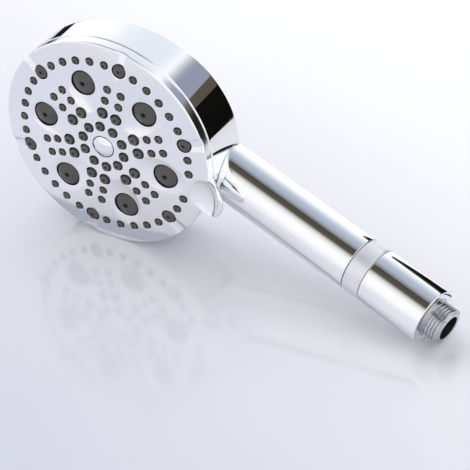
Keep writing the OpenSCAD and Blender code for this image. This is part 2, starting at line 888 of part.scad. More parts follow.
module nipple_seal() {
    color("black") place_handle()
        translate([0, 0, flange_end + nipple_seal_d / 2 + seat_gap])
            o_ring(nipple_neck_r + nipple_seal_d / 2 + 0.05, nipple_seal_d);
}

// Check valve: water from the hose lifts the poppet toward the filter
module check_valve_body() {
    color("whitesmoke") place_handle() difference() {
        translate([0, 0, valve_s]) cylinder(r = nipple_flange_r, h = valve_len);
        translate([0, 0, valve_s + 2]) cylinder(r = valve_bore + 1.6, h = valve_len - 5);
        translate([0, 0, valve_s - 1]) cylinder(r = 1.5 + run_fit, h = valve_len);
        translate([0, 0, valve_end - 4]) cylinder(r = valve_bore - 1.2, h = 6);
        for (a = [0 : 60 : 300])
            rotate([0, 0, a]) translate([5, 0, valve_s - 1]) cylinder(r = 1.7, h = 4);
    }
}

module check_valve_poppet() {
    head_s = valve_end - 3 - seat_gap - 2;
    color("seagreen") place_handle() {
        translate([0, 0, head_s]) cylinder(r = valve_bore, h = 2);
        translate([0, 0, valve_s + 0.2]) cylinder(r = 1.5, h = head_s - valve_s);
    }
}

module check_valve_spring() {
    head_s = valve_end - 3 - seat_gap - 2;
    color("silver") place_handle()
        translate([0, 0, valve_s + 2 + seat_gap])
            coil_spring(2.6, 0.5, head_s - valve_s - 2 - 2 * seat_gap, 4);
}

module flow_restrictor() {
    color("royalblue") place_handle() translate([0, 0, flange_s + 1]) difference() {
        cylinder(r = inlet_r - seat_gap, h = 3);
        for (a = [0 : 60 : 300]) rotate([0, 0, a]) translate([4, 0, -1]) cylinder(r = 1, h = 5);
    }
}

// Woven disc that keeps grit out, drawn as a rim with two crossed sets of wires
module inlet_screen() {
    reach = inlet_r - seat_gap;
    color("silver") place_handle() translate([0, 0, flange_s + 4.2]) {
        ring(reach, reach - 1, 1);
        for (turn = [0, 90])
            rotate([0, 0, turn])
                for (y = [-4.5 : 1.5 : 4.5])
                    translate([-sqrt(pow(reach - 0.5, 2) - y * y), y - 0.15, 0.35])
                        cube([2 * sqrt(pow(reach - 0.5, 2) - y * y), 0.3, 0.3]);
    }
}

spray_face();
nozzle_mat();
jet_nozzles();
rim_nozzles();
centre_cap();
water_plate();
chamber_seal();
selector_disc();
face_screws();
turbine();
pivot_bolt();
pivot_washer();
manifold();
port_sleeve();
port_spring();
click_pin();
click_spring();
housing_screws();
rear_housing();
handle_tube();
water_tube();
water_tube_seals();
coupling_collar();
collar_seals();
window_ring();
filter_cage();
filter_screen();
lower_sleeve();
inlet_nipple();
nipple_seal();
check_valve_body();
check_valve_poppet();
check_valve_spring();
flow_restrictor();
inlet_screen();
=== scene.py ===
"""Visual model of a handheld shower head: chromed shells, soft nozzles and a frosted ring."""

import json
import math
from types import SimpleNamespace

import bpy
import numpy as np
from bpy.props import FloatProperty, FloatVectorProperty, IntProperty, PointerProperty
from mathutils import Matrix, Vector, geometry


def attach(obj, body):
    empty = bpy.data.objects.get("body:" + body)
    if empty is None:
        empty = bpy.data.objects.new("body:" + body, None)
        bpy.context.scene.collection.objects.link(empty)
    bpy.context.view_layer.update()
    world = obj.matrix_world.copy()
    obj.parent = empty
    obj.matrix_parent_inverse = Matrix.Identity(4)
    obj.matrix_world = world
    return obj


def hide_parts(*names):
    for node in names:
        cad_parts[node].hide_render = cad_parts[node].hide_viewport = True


bl_info = {
    "name": "Handheld shower head",
    "version": (1, 0, 0),
    "blender": (4, 5, 0),
    "location": "View3D > Sidebar > Shower",
    "description": "Builds a chromed multi-spray hand shower on a studio stage",
    "category": "Object",
}

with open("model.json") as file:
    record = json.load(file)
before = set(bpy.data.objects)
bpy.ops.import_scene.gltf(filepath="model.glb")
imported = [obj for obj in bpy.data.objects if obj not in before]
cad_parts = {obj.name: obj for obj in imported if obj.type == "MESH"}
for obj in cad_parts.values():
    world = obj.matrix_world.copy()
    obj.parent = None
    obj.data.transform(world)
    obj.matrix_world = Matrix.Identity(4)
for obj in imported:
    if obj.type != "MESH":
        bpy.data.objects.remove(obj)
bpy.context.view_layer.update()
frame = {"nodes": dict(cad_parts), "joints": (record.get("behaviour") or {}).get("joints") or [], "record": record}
MM = 0.001
TURN = 2 * math.pi

# ---------------------------------------------------------------- the object's own axes


def unit(v):
    """The vector at length one."""
    v = np.asarray(v, float)
    return v / np.linalg.norm(v)


def record_item(items, name):
    """The entry of that name in a list of the record's entries."""
    return next(item for item in items if item["name"] == name)


TURNING = record_item(frame["joints"], "face_turn")
THREAD = record_item(frame["record"]["mounts"], "hose_thread")
FRONT = unit(TURNING["axis"])
FACE = np.array(TURNING["pos_m"])
ALONG = unit(THREAD["axis"])
SIDE = unit(ALONG - FRONT * (ALONG @ FRONT))
UP = np.cross(FRONT, SIDE)
LEAN = math.asin(float(ALONG @ FRONT))


def node_points(node):
    """All corners of a CAD node, in metres."""
    mesh = frame["nodes"][node].data
    co = np.empty(len(mesh.vertices) * 3, np.float32)
    mesh.vertices.foreach_get("co", co)
    return co.reshape(-1, 3).astype(float)


def in_head(points):
    """Metres in the row's frame to millimetres along the head's side, up and front axes."""
    return (points - FACE) @ np.stack([SIDE, UP, FRONT], 1) / MM


def from_head(points):
    """Millimetres along the head's axes to metres in the row's frame."""
    return FACE + points @ np.stack([SIDE, UP, FRONT]) * MM


housing = in_head(node_points("rear_housing"))
HEAD_R = float(np.hypot(housing[:, 0], housing[:, 1])[housing[:, 0] < 0].max())
AXIS_START = np.array(THREAD["pos_m"])
AXIS_START = AXIS_START - ALONG * ((AXIS_START - FACE) @ SIDE - HEAD_R * MM) / (ALONG @ SIDE)
NEAR = np.cross(UP, ALONG)
if NEAR @ FRONT < 0:
    NEAR = -NEAR
AXIS_DEPTH = -float((AXIS_START - FACE) @ FRONT) / MM


def from_handle(points):
    """Millimetres across (front side, up) and along the handle's axis to metres in the row's frame."""
    return AXIS_START + points @ np.stack([NEAR, UP, ALONG]) * MM


def reach(node):
    """Start, end and outer radius of a node along the handle's axis, in millimetres."""
    points = (node_points(node) - AXIS_START) / MM
    along = points @ ALONG
    across = np.hypot(points @ NEAR, points @ UP)
    return float(along.min()), float(along.max()), float(across.max())


TUBE_END = reach("handle_tube")[1]
HANDLE_R = reach("handle_tube")[2]
RING_START, RING_END, RING_R = reach("window_ring")
SLEEVE_START, SLEEVE_END, SLEEVE_R = reach("lower_sleeve")
NIPPLE_END, THREAD_R = reach("inlet_nipple")[1], THREAD["dims"]["r_mm"]
RIM_H = -float(in_head(node_points("spray_face"))[:, 2].min())
LIP = in_head(node_points("spray_face"))
TAB_REACH = float(LIP[:, 0].max()) - HEAD_R
TAB_RISE = float(LIP[LIP[:, 0] > HEAD_R + 2, 2].max())
HOUSING_FRONT = float(housing[:, 2].max())

# ---------------------------------------------------------------- settings


def length(name, text, millimetres):
    """A length setting, kept in metres and given here in millimetres."""
    return FloatProperty(
        name=name, description=text, default=millimetres * MM, min=0, precision=5, unit="LENGTH"
    )


def tint(name, text, value):
    """A colour setting."""
    return FloatVectorProperty(
        name=name, description=text, subtype="COLOR", size=3, min=0, max=1, default=value
    )


class ShowerSizes(bpy.types.PropertyGroup):
    """Sizes that a user would change."""

    dome: length("Dome", "Bulge of the spray face", 3.2)
    edge: length("Edge", "Rounding of the cover's rim", 0.7)
    face_t: length("Face thickness", "Thickness of the cover", 3.0)
    tip_out: length("Tip height", "How far soft tips stand out", 1.3)
    outer_inset: length("Outer inset", "From the side wall to the outer ring of nozzles", 11.2)
    jet_inset: length("Jet inset", "From the outer ring to the ring of massage jets", 13.5)
    row_inset: length("Row inset", "From the outer ring to the outer row pairs", 14.2)
    row_step: length("Row step", "Between the two row pairs", 7.3)
    pair_step: length("Pair step", "From the rows to the wide pair", 8.4)
    pair_half: length("Pair half gap", "Half the gap in a pair", 4.2)
    core_ring: length("Core ring", "Ring of nozzles round the cap", 12.8)
    dish: length("Dish depth", "Hollow round each jet", 1.7)
    flute: length("Flute depth", "Depth of the flutes at the rim", 2.6)
    flute_len: length("Flute length", "Length of the flutes", 18.0)
    grain: length("Mesh spacing", "Spacing of the face's mesh", 0.7)
    hidden_end: length("Hidden end", "Length of the handle's end inside the head", 28.8)
    thread_pitch: length("Pitch", "Pitch of the inlet thread", 1.814)
    sectors: IntProperty(name="Sectors", description="Spray sectors round the face", default=6, min=1)


class ShowerColours(bpy.types.PropertyGroup):
    """Colours of the finishes."""

    chrome: tint("Chrome", "Bright plating", (0.93, 0.94, 0.955))
    satin: tint("Satin", "Plating of the spray face", (0.95, 0.955, 0.975))
    silicone: tint("Silicone", "Soft nozzles", (0.085, 0.080, 0.072))
    jet: tint("Jet plastic", "Hard nozzles", (0.072, 0.067, 0.061))
    frost: tint("Frosted ring", "Window ring", (0.80, 0.82, 0.87))
    floor: tint("Floor", "Studio floor", (0.63, 0.64, 0.73))


def sizes():
    """The size settings of the scene, with the lengths in millimetres."""
    group = bpy.context.scene.shower_sizes
    values = {
        name: round(getattr(group, name) / MM, 4)
        for name in group.__annotations__ if name != "sectors"
    }
    return SimpleNamespace(sectors=group.sectors, **values)


def colours():
    """The colour settings of the scene."""
    return bpy.context.scene.shower_colours


# ---------------------------------------------------------------- mesh helpers


class Shell:
    """Collects surfaces, as whole arrays of points and faces, into one mesh."""

    def __init__(self):
        self.points, self.quads, self.tris, self.count = [], [], [], 0

    def add(self, points, quads=None, tris=None):
        """Adds points with their quads and triangles; returns the first point's number."""
        start = self.count
        self.points.append(np.asarray(points, float).reshape(-1, 3))
        if quads is not None and len(quads):
            self.quads.append(np.asarray(quads) + start)
        if tris is not None and len(tris):
            self.tris.append(np.asarray(tris) + start)
        self.count += len(self.points[-1])
        return start

    def strip(self, lower, upper):
        """Quads between two closed rings of point numbers of the same length."""
        a, b = np.asarray(lower), np.asarray(upper)
        self.quads.append(np.stack([a, np.roll(a, -1), np.roll(b, -1), b], 1))

    def build(self, name, place, smooth_angle=35):
        """Makes the object; place turns millimetres in the piece's axes into metres."""
        points = place(np.concatenate(self.points)).astype(np.float32)
        quads = np.concatenate(self.quads) if self.quads else np.empty((0, 4), int)
        tris = np.concatenate(self.tris) if self.tris else np.empty((0, 3), int)
        loops = np.concatenate([quads.ravel(), tris.ravel()]).astype(np.int32)
        starts = np.concatenate(
            [np.arange(len(quads)) * 4, len(quads) * 4 + np.arange(len(tris)) * 3]
        ).astype(np.int32)
        mesh = bpy.data.meshes.new(name)
        mesh.vertices.add(len(points))
        mesh.vertices.foreach_set("co", points.ravel())
        mesh.loops.add(len(loops))
        mesh.loops.foreach_set("vertex_index", loops)
        mesh.polygons.add(len(starts))
        mesh.polygons.foreach_set("loop_start", starts)
        mesh.update(calc_edges=True)
        mesh.shade_smooth()
        mesh.set_sharp_from_angle(angle=math.radians(smooth_angle))
        piece = bpy.data.objects.new(name, mesh)
        bpy.context.scene.collection.objects.link(piece)
        return piece


def lathe(profile, count):
    """Profile of (radius, height) pairs turned about Z; a radius of 0 becomes one pole point.

    The profile runs so that the outside is on its right. Returns points, quads and triangles.
    """
    profile = np.asarray(profile, float)
    angle = np.arange(count) / count * TURN
    closed_start, closed_end = profile[0, 0] < 1e-9, profile[-1, 0] < 1e-9
    rings = profile[int(closed_start) : len(profile) - int(closed_end)]
    points = np.stack(
        [
            rings[:, :1] * np.cos(angle),
            rings[:, :1] * np.sin(angle),
            np.repeat(rings[:, 1:], count, 1),
        ],
        -1,
    ).reshape(-1, 3)
    index = np.arange(len(rings) * count).reshape(len(rings), count)
    nxt = np.roll(index, -1, 1)
    quads = np.stack([index[:-1], nxt[:-1], nxt[1:], index[1:]], -1).reshape(-1, 4)
    tris = []
    if closed_start:
        points = np.vstack([points, [0, 0, profile[0, 1]]])
        tris.append(np.stack([np.full(count, len(points) - 1), nxt[0], index[0]], 1))
    if closed_end:
        points = np.vstack([points, [0, 0, profile[-1, 1]]])
        tris.append(np.stack([np.full(count, len(points) - 1), index[-1], nxt[-1]], 1))
    return points, quads, np.concatenate(tris) if tris else np.empty((0, 3), int)


def closed_lathe(profile, count):
    """A ring-shaped body: the profile is a closed loop that never meets the axis."""
    profile = np.asarray(profile, float)
    angle = np.arange(count) / count * TURN
    points = np.stack(
        [
            profile[:, :1] * np.cos(angle),
            profile[:, :1] * np.sin(angle),
            np.repeat(profile[:, 1:], count, 1),
        ],
        -1,
    ).reshape(-1, 3)
    index = np.arange(len(profile) * count).reshape(len(profile), count)
    below, right = np.roll(index, -1, 0), np.roll(index, -1, 1)
    quads = np.stack([index, right, np.roll(below, -1, 1), below], -1).reshape(-1, 4)
    return points, quads


def arc(centre, radius, start, end, steps=6):
    """Points of a round stretch in a profile, angles in degrees."""
    t = np.radians(np.linspace(start, end, steps + 1))
    return [(centre[0] + radius * np.cos(a), centre[1] + radius * np.sin(a)) for a in t]


def copies(part, places):
    """One body's points and faces, repeated at each (x, y, z) place."""
    points, quads, tris = part
    n, places = len(points), np.asarray(places, float)
    all_points = (points[None] + places[:, None, :]).reshape(-1, 3)
    shift = (np.arange(len(places)) * n)[:, None, None]
    return all_points, (quads[None] + shift).reshape(-1, 4), (tris[None] + shift).reshape(-1, 3)


def face_middles(piece):
    """The middle of every face, in metres."""
    faces = piece.data.polygons
    middle = np.empty(len(faces) * 3, np.float32)
    faces.foreach_get("center", middle)
    return middle.reshape(-1, 3)


def second_skin(piece, skin, where):
    """Gives the faces that the mask picks a second material."""
    piece.data.materials.append(skin)
    piece.data.polygons.foreach_set("material_index", where.astype(np.int32))


# ---------------------------------------------------------------- the spray face as a surface


def smooth_min(a, b, k):
    """The lower of two heights, with a rounded crease k wide."""
    h = np.clip(0.5 + 0.5 * (b - a) / k, 0, 1)
    return b + (a - b) * h - k * h * (1 - h)


def smooth_step(t):
    """0 to 1 with level ends."""
    t = np.clip(t, 0, 1)
    return t * t * (3 - 2 * t)


def dome_height(r):
    """Ball cap through the rim circle, bulging by the dome's height at the centre."""
    rise = sizes().dome
    ball = (HEAD_R**2 + rise**2) / (2 * rise)
    return rise - ball + np.sqrt(np.maximum(ball**2 - r**2, 0))


TAB_HALF_ANGLE = math.radians(9.6)


def outline_radius(angle):
    """The cover's outline: a circle, with the thumb tab's rounded tongue at angle 0."""
    s = np.abs((angle + math.pi) % TURN - math.pi) / TAB_HALF_ANGLE
    tongue = np.where(s < 1, np.power(np.clip(1 - s**2.3, 0, 1), 0.62), 0)
    fillet = 0.9 * np.exp(-np.maximum(s - 1, 0) * 7) * (s >= 1)
    return HEAD_R + TAB_REACH * tongue + np.where(s < 1, 0.9 * (1 - tongue) ** 2, fillet) * 0.6


def face_height(x, y):
    """Height of the face: the dome, less the jets' dishes, the rim flutes and the thumb scoop."""
    s = sizes()
    r = np.hypot(x, y)
    z = dome_height(np.minimum(r, HEAD_R))
    outer = HEAD_R - s.outer_inset
    jet = outer - s.jet_inset
    for k in range(s.sectors):
        a = k * TURN / s.sectors
        along, across = x * np.cos(a) + y * np.sin(a), -x * np.sin(a) + y * np.cos(a)
        bowl = dome_height(jet) - s.dish * (1 - ((along - jet - 1.5) / 15.5) ** 2 - (across / 10.4) ** 2)
        z = smooth_min(z, bowl, 0.08)
        a += math.pi / s.sectors
        along, across = x * np.cos(a) + y * np.sin(a), -x * np.sin(a) + y * np.cos(a)
        slope = (along - (HEAD_R - s.flute_len)) / s.flute_len
        gutter = dome_height(HEAD_R - s.flute_len) - s.flute * slope + across**2 / 18
        z = smooth_min(z, np.where(along > 0, gutter, 99.0), 0.08)
    ramp = TAB_RISE * smooth_step((x - HEAD_R + 3.5) / (TAB_REACH * 0.85)) * (np.abs(y) < 25)
    z = z + np.where(x > 0, ramp, 0) * (r > HEAD_R - 6)
    bowl_r, bowl_y = 13.6, 19.5
    reach_in = ((x - HEAD_R + 1.8) / bowl_r) ** 2 + (y / bowl_y) ** 2
    scoop = bowl_r - 1.5 - bowl_r * np.sqrt(np.clip(1 - reach_in, 0, 1))
    return smooth_min(z, np.where((reach_in < 1) & (x > 0), scoop, 99.0), 0.10)


def nozzle_places():
    """Plan places of each kind of nozzle: small, wide, core, jet and rim."""
    s = sizes()
    outer = HEAD_R - s.outer_inset
    row = outer - s.row_inset
    sector = TURN / s.sectors

    def polar(r, a):
        return (r * math.cos(a), r * math.sin(a))

    def pair(r, a):
        return [
            (r * math.cos(a) - side * math.sin(a), r * math.sin(a) + side * math.cos(a))
            for side in (-s.pair_half, s.pair_half)
        ]

    middles = [(k + 0.5) * sector for k in range(s.sectors)]
    small = [polar(outer, math.radians(10 * k)) for k in range(1, 36) if k % 6 != 3]
    small += [p for a in middles for r in (row, row - s.row_step) for p in pair(r, a)]
    wide = [p for a in middles for p in pair(row - s.row_step - s.pair_step, a)]
    core = [polar(s.core_ring, k * TURN / 10) for k in range(10)]
    jets = [polar(outer - s.jet_inset, k * sector) for k in range(s.sectors)]
    rims = [polar(outer, a) for a in middles]
    return {"small": small, "wide": wide, "core": core, "jet": jets, "rim": rims}


HOLE_R = {"small": 2.35, "wide": 3.3, "core": 2.9, "jet": 7.4, "rim": 4.1}
HOLE_SIDES = {"small": 28, "wide": 36, "core": 32, "jet": 72, "rim": 48}
CAP_R = 6.2


def face_holes():
    """Every hole of the cover as (x, y, radius, sides)."""
    holes = [(0.0, 0.0, CAP_R + 0.4, 64)]
    for kind, places in nozzle_places().items():
        holes += [(x, y, HOLE_R[kind], HOLE_SIDES[kind]) for x, y in places]
    return holes


def perforated(boundary, holes, spacing, lip):
    """Triangles of a plan area with round holes.

    The outline and the hole circles are fixed edges, a staggered grid fills the rest, and
    triangles whose middle lies outside are dropped. Returns points, triangles and the rings.
    """
    n = len(boundary)
    rings, edges, points = [np.arange(n)], [], [np.asarray(boundary, float)]
    count = n
    for x, y, r, sides in holes:
        t = np.arange(sides) / sides * TURN
        points.append(np.stack([x + (r + lip) * np.cos(t), y + (r + lip) * np.sin(t)], 1))
        rings.append(np.arange(sides) + count)
        count += sides
    edges = np.concatenate([np.stack([ring, np.roll(ring, -1)], 1) for ring in rings])
    top = np.abs(boundary).max()
    rows = np.arange(-top, top, spacing * 0.866)
    across, down = np.meshgrid(np.arange(-top, top, spacing), rows)
    across = across + (np.arange(len(rows)) % 2)[:, None] * spacing / 2
    grid = np.column_stack([across.ravel(), down.ravel()])
    angle = np.arctan2(boundary[:, 1], boundary[:, 0]) % TURN
    order = np.argsort(angle)
    limit = np.hypot(boundary[:, 0], boundary[:, 1])[order]

    def inside(p, margin):
        edge = np.interp(np.arctan2(p[:, 1], p[:, 0]) % TURN, angle[order], limit, period=TURN)
        keep = np.hypot(p[:, 0], p[:, 1]) < edge - margin
        for x, y, r, _ in holes:
            keep &= np.hypot(p[:, 0] - x, p[:, 1] - y) > r + lip + margin
        return keep

    grid = grid[inside(grid, spacing * 0.45)]
    everything = np.concatenate(points + [grid])
    result = geometry.delaunay_2d_cdt(
        [Vector(p) for p in everything], [tuple(map(int, e)) for e in edges], [], 0, 1e-5, True
    )
    out = np.array([tuple(v) for v in result[0]])
    tris = np.array([f for f in result[2] if len(f) == 3])
    middle = out[tris].mean(1)
    tris = tris[inside(middle, -1e-4)]
    back = {old: new for new, olds in enumerate(result[3]) for old in olds}
    rings = [np.array([back[int(i)] for i in ring]) for ring in rings]
    area = np.cross(out[tris[:, 1]] - out[tris[:, 0]], out[tris[:, 2]] - out[tris[:, 0]])
    tris[area < 0] = tris[area < 0][:, ::-1]
    return out, tris, rings


def build_cover():
    """Front cover with thumb tab: perforated face, rounded lips, wells, side wall and underside."""
    s = sizes()
    lip, sides = 0.3, 720
    holes = face_holes()
    angle = (np.arange(sides) + 0.5) / sides * TURN
    outline = outline_radius(angle)
    tab = np.clip((outline - HEAD_R) / TAB_REACH, 0, 1)
    edge = s.edge + 0.7 * tab
    direction = np.stack([np.cos(angle), np.sin(angle)], 1)
    plan, tris, rings = perforated(direction * (outline - edge)[:, None], holes, s.grain, lip)
    shell = Shell()
    height = face_height(plan[:, 0], plan[:, 1])
    shell.add(np.column_stack([plan, height]), tris=tris)
    # Rounded edge, then the side wall: straight on the rim, sweeping down to it under the tab
    top = height[rings[0]]
    last = rings[0]
    index = np.arange(sides)
    for t in np.radians([22.5, 45, 67.5, 90]):
        radius = outline - edge + edge * np.sin(t)
        z = top - edge * (1 - np.cos(t))
        start = shell.add(np.column_stack([direction * radius[:, None], z]))
        shell.strip(start + index, last)
        last = start + index
    z_edge = top - edge
    seam = ((0.95, 0.12), (0.985, 0.32), (1.0, 0.55))
    for v, tuck in ((0.2, 0), (0.4, 0), (0.6, 0), (0.8, 0), (0.90, 0), *seam):
        radius = HEAD_R - tuck + (outline - HEAD_R) * (1 - v**1.35)
        z = z_edge + (-RIM_H - z_edge) * v
        start = shell.add(np.column_stack([direction * radius[:, None], z]))
        shell.strip(start + index, last)
        last = start + index
    # Underside: rim face, inner wall and the perforated inside of the face
    inner_r = HEAD_R - 2.5
    start = shell.add(np.column_stack([direction * inner_r, np.full(sides, -RIM_H)]))
    shell.strip(start + index, last)
    last = start + index
    below, below_tris, below_rings = perforated(direction * inner_r, holes, 4.0, lip)
    under = dome_height(np.hypot(below[:, 0], below[:, 1])) - s.face_t
    base = shell.add(np.column_stack([below, under]), tris=below_tris[:, ::-1])
    shell.strip(base + below_rings[0], last)
    # Hole walls: a small rounded lip, then straight down to the underside
    for (x, y, r, n), ring, floor_ring in zip(holes, rings[1:], below_rings[1:]):
        t = np.arange(n) / n * TURN
        last = ring
        for grow, drop in ((0.15, 0.04), (0.05, 0.13), (0.0, 0.3)):
            z = height[ring] - drop
            wide = r + grow
            start = shell.add(np.column_stack([x + wide * np.cos(t), y + wide * np.sin(t), z]))
            shell.strip(last, start + np.arange(n))
            last = start + np.arange(n)
        low = under[floor_ring] + 0.3
        start = shell.add(np.column_stack([x + r * np.cos(t), y + r * np.sin(t), low]))
        shell.strip(last, start + np.arange(n))
        shell.strip(start + np.arange(n), base + floor_ring)
    cover = shell.build("front_cover", from_head, 40)
    finish_piece(cover, "spray_head", satin_plating())
    # Painted shade: the faces of the hole walls get a near-black material that stands in for the shade down in the
    # holes.
    middle = in_head(face_middles(cover))
    painted_shade_faces = np.zeros(len(middle), bool)
    for x, y, r, _ in holes:
        painted_shade_faces |= np.hypot(middle[:, 0] - x, middle[:, 1] - y) < r + 0.02
    second_skin(cover, moulded("unplated_edge", (0.012, 0.012, 0.012), 0.5), painted_shade_faces)
    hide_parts("spray_face")
    return cover


def tip_profile(r, rise, bore, depth):
    """Section of a soft tip: flared foot, straight side, rounded end and a bore with a bevelled mouth."""
    foot = -depth
    return (
        [(0, foot), (r * 1.12, foot), (r * 1.04, foot + depth * 0.5)]
        + [(r, -0.2 * rise)]
        + arc((r * 0.96 - 0.35, rise - 0.35), 0.35, 0, 90, 4)
        + [(bore + 0.28, rise), (bore + 0.06, rise - 0.12), (bore, rise - 0.4), (bore, rise - 2.2)]
        + [(0, rise - 2.2)]
    )


def build_mat():
    """Soft mat: a domed sheet under the cover and one tapered tip in every small, wide and core hole."""
    s = sizes()
    shell = Shell()
    places = nozzle_places()
    under = s.face_t + 0.1
    radii = np.linspace(CAP_R + 1, HEAD_R - 3.5, 24)
    sheet = [(r, dome_height(r) - under - 1.4) for r in radii]
    sheet += [(r, dome_height(r) - under) for r in radii[::-1]]
    points, quads = closed_lathe(sheet, 180)
    shell.add(points, quads)
    for kind, bore, rise, gap in (
        ("small", 0.55, 0.75, 0.5), ("wide", 0.75, 1.0, 0.75), ("core", 0.7, 1.0, 0.7)
    ):
        profile = tip_profile(HOLE_R[kind] - gap, s.tip_out * rise, bore, s.face_t + 0.4)
        spots = [(x, y, float(dome_height(math.hypot(x, y)))) for x, y in places[kind]]
        shell.add(*copies(lathe(profile, 28), spots))
    mat = shell.build("soft_nozzles", from_head, 40)
    finish_piece(mat, "spray_head", soft_silicone())
    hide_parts("nozzle_mat")
    return mat


def crown_profile(r, low, edge_z, rise, bore, rings):
    """Section of a hard nozzle: straight side, then a crown with shallow turned rings and a bore."""
    ball = (r * r + rise * rise) / (2 * rise)
    steps = np.linspace(r - 0.25, bore + 0.35, 46)
    turned = 0.012 * (1 - np.cos(steps / r * TURN * rings))
    crown = list(zip(steps, edge_z + rise - ball + np.sqrt(ball**2 - steps**2) - turned))
    top = crown[-1][1]
    return (
        [(0, low), (r, low), (r, edge_z - 0.4), (r - 0.06, edge_z - 0.12)]
        + crown
        + [(bore + 0.1, top - 0.1), (bore, top - 0.4), (bore, top - 5), (0, top - 5)]
    )


def build_hard_nozzles():
    """Six massage jets with crowned ends, and six smaller nozzles in the rim flutes."""
    s = sizes()
    places = nozzle_places()
    made = []
    for kind, name, node, bore, rise, rings, lift in (
        ("jet", "massage_jets", "jet_nozzles", 1.35, 1.9, 4, 0.15),
        ("rim", "rim_jets", "rim_nozzles", 0.75, 1.1, 2, 0.25),
    ):
        r = HOLE_R[kind] - (0.60 if kind == "jet" else 0.45)
        x, y = places[kind][1]
        ground = float(face_height(np.array([x]), np.array([y]))[0])
        profile = crown_profile(r, -5.6, ground + lift, rise, bore, rings)
        shell = Shell()
        shell.add(*copies(lathe(profile, 72), [(px, py, 0.0) for px, py in places[kind]]))
        piece = shell.build(name, from_head, 50)
        finish_piece(piece, "spray_head", jet_plastic())
        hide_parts(node)
        made.append(piece)
    return made


def build_cap():
    """Chromed cap in the middle of the face: a shallow dome in a fine groove."""
    lip = float(dome_height(CAP_R))
    ball, rise = 12.5, 1.6
    steps = np.linspace(CAP_R - 0.3, 0, 20)
    crown = list(zip(steps, lip + rise - ball + np.sqrt(ball**2 - steps**2)))
    edge_z = crown[0][1]
    profile = [(0, lip - 2.5), (CAP_R, lip - 2.5), (CAP_R, edge_z - 0.3), (CAP_R - 0.1, edge_z - 0.1)]
    shell = Shell()
    shell.add(*lathe(profile + crown, 96))
    cap = shell.build("face_cap", from_head, 50)
    finish_piece(cap, "spray_head", bright_chrome())
    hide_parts("centre_cap")
    return cap


# ---------------------------------------------------------------- rear housing and handle


def crown_constants():
    """Centre offset, centre height and radius of the back's ball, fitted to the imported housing."""
    edge = housing[(np.hypot(housing[:, 0], housing[:, 1]) > HEAD_R - 0.05)]
    far = -edge[edge[:, 0] < -HEAD_R * 0.98][:, 2].min()
    side = -edge[(np.abs(edge[:, 0]) < 2.0) & (edge[:, 1] > 0)][:, 2].min()
    ball = 240.0
    slope = (side - far) / HEAD_R
    k = (ball**2 - HEAD_R**2) / (1 + slope**2)
    return slope * math.sqrt(k), math.sqrt(k) - side, ball


def back_depth(x, y, inset=0.0):
    """Depth of the back below the rim plane: crowned ball, swelling over the handle's hidden end."""
    centre_x, centre_z, ball = crown_constants()
    crown = -centre_z + np.sqrt((ball - inset) ** 2 - (x - centre_x) ** 2 - y**2)
    t, r = math.tan(LEAN), HANDLE_R - inset
    axis = AXIS_DEPTH + (HEAD_R - x) * t
    hidden = sizes().hidden_end
    end_x = HEAD_R - hidden * math.cos(LEAN)
    end_depth = AXIS_DEPTH + hidden * math.sin(LEAN)
    barrel = axis + np.sqrt(np.maximum(r * r - y * y, 0)) / math.cos(LEAN)
    barrel = np.where(np.abs(y) < r, barrel, -99)
    nose_sq = r * r - y * y - (x - end_x) ** 2
    nose = end_depth + np.sqrt(np.maximum(nose_sq, 0))
    nose = np.where(nose_sq > 0, nose, -99)
    meet = end_x + r * math.sin(LEAN)
    swell = np.where(x > meet, barrel, nose)
    return -smooth_min(-crown, -np.maximum(swell, -50), 3.0)


def build_housing():
    """Rear housing: side wall, crisp back edge and crowned back, with its inner skin."""
    shell = Shell()
    count = 480
    angle = (np.arange(count) + 0.5) / count * TURN
    direction = np.stack([np.cos(angle), np.sin(angle)], 1)
    index = np.arange(count)

    def ring(radius, z):
        z = np.broadcast_to(z, (count,))
        return shell.add(np.column_stack([direction * np.reshape(radius, (-1, 1)), z])) + index

    def back_ring(radius, inset, drop=0.0):
        return ring(radius, -(back_depth(direction[:, 0] * radius, direction[:, 1] * radius, inset) - drop))

    wall, soft = 2.5, 0.45
    edge_z = -back_depth(direction[:, 0] * HEAD_R, direction[:, 1] * HEAD_R)
    rings = [ring(HEAD_R - wall, HOUSING_FRONT), ring(HEAD_R - 0.5, HOUSING_FRONT)]
    rings += [ring(HEAD_R - 0.15, HOUSING_FRONT - 0.15), ring(HEAD_R, HOUSING_FRONT - 0.5)]
    for v in (0.02, 0.15, 0.3, 0.5, 0.7, 0.85, 0.97):
        rings.append(ring(HEAD_R, HOUSING_FRONT - 0.5 + (edge_z + soft - HOUSING_FRONT + 0.5) * v))
    for t in np.radians([0, 22.5, 45, 67.5]):
        rings.append(ring(HEAD_R - soft * (1 - math.cos(t)), edge_z + soft * (1 - math.sin(t))))
    for radius in np.concatenate([[HEAD_R - soft], np.linspace(HEAD_R - 1.2, 2.0, 62)]):
        rings.append(back_ring(radius, 0.0))
    for upper, lower in zip(rings[:-1], rings[1:]):
        shell.strip(lower, upper)
    pole = shell.add([[0, 0, -float(back_depth(np.zeros(1), np.zeros(1))[0])]])
    shell.tris.append(np.stack([np.full(count, pole), rings[-1], np.roll(rings[-1], -1)], 1)[:, ::-1])
    inner = [rings[0]]
    for radius in (HEAD_R - wall, HEAD_R - 6, HEAD_R - 12, 40, 30, 20, 8):
        inner.append(back_ring(radius, wall))
    for upper, lower in zip(inner[:-1], inner[1:]):
        shell.strip(upper, lower)
    pole = shell.add([[0, 0, -float(back_depth(np.zeros(1), np.zeros(1), wall)[0])]])
    shell.tris.append(np.stack([np.full(count, pole), inner[-1], np.roll(inner[-1], -1)], 1))
    body = shell.build("head_shell", from_head, 38)
    finish_piece(body, "handle", bright_chrome())
    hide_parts("rear_housing")
    return body


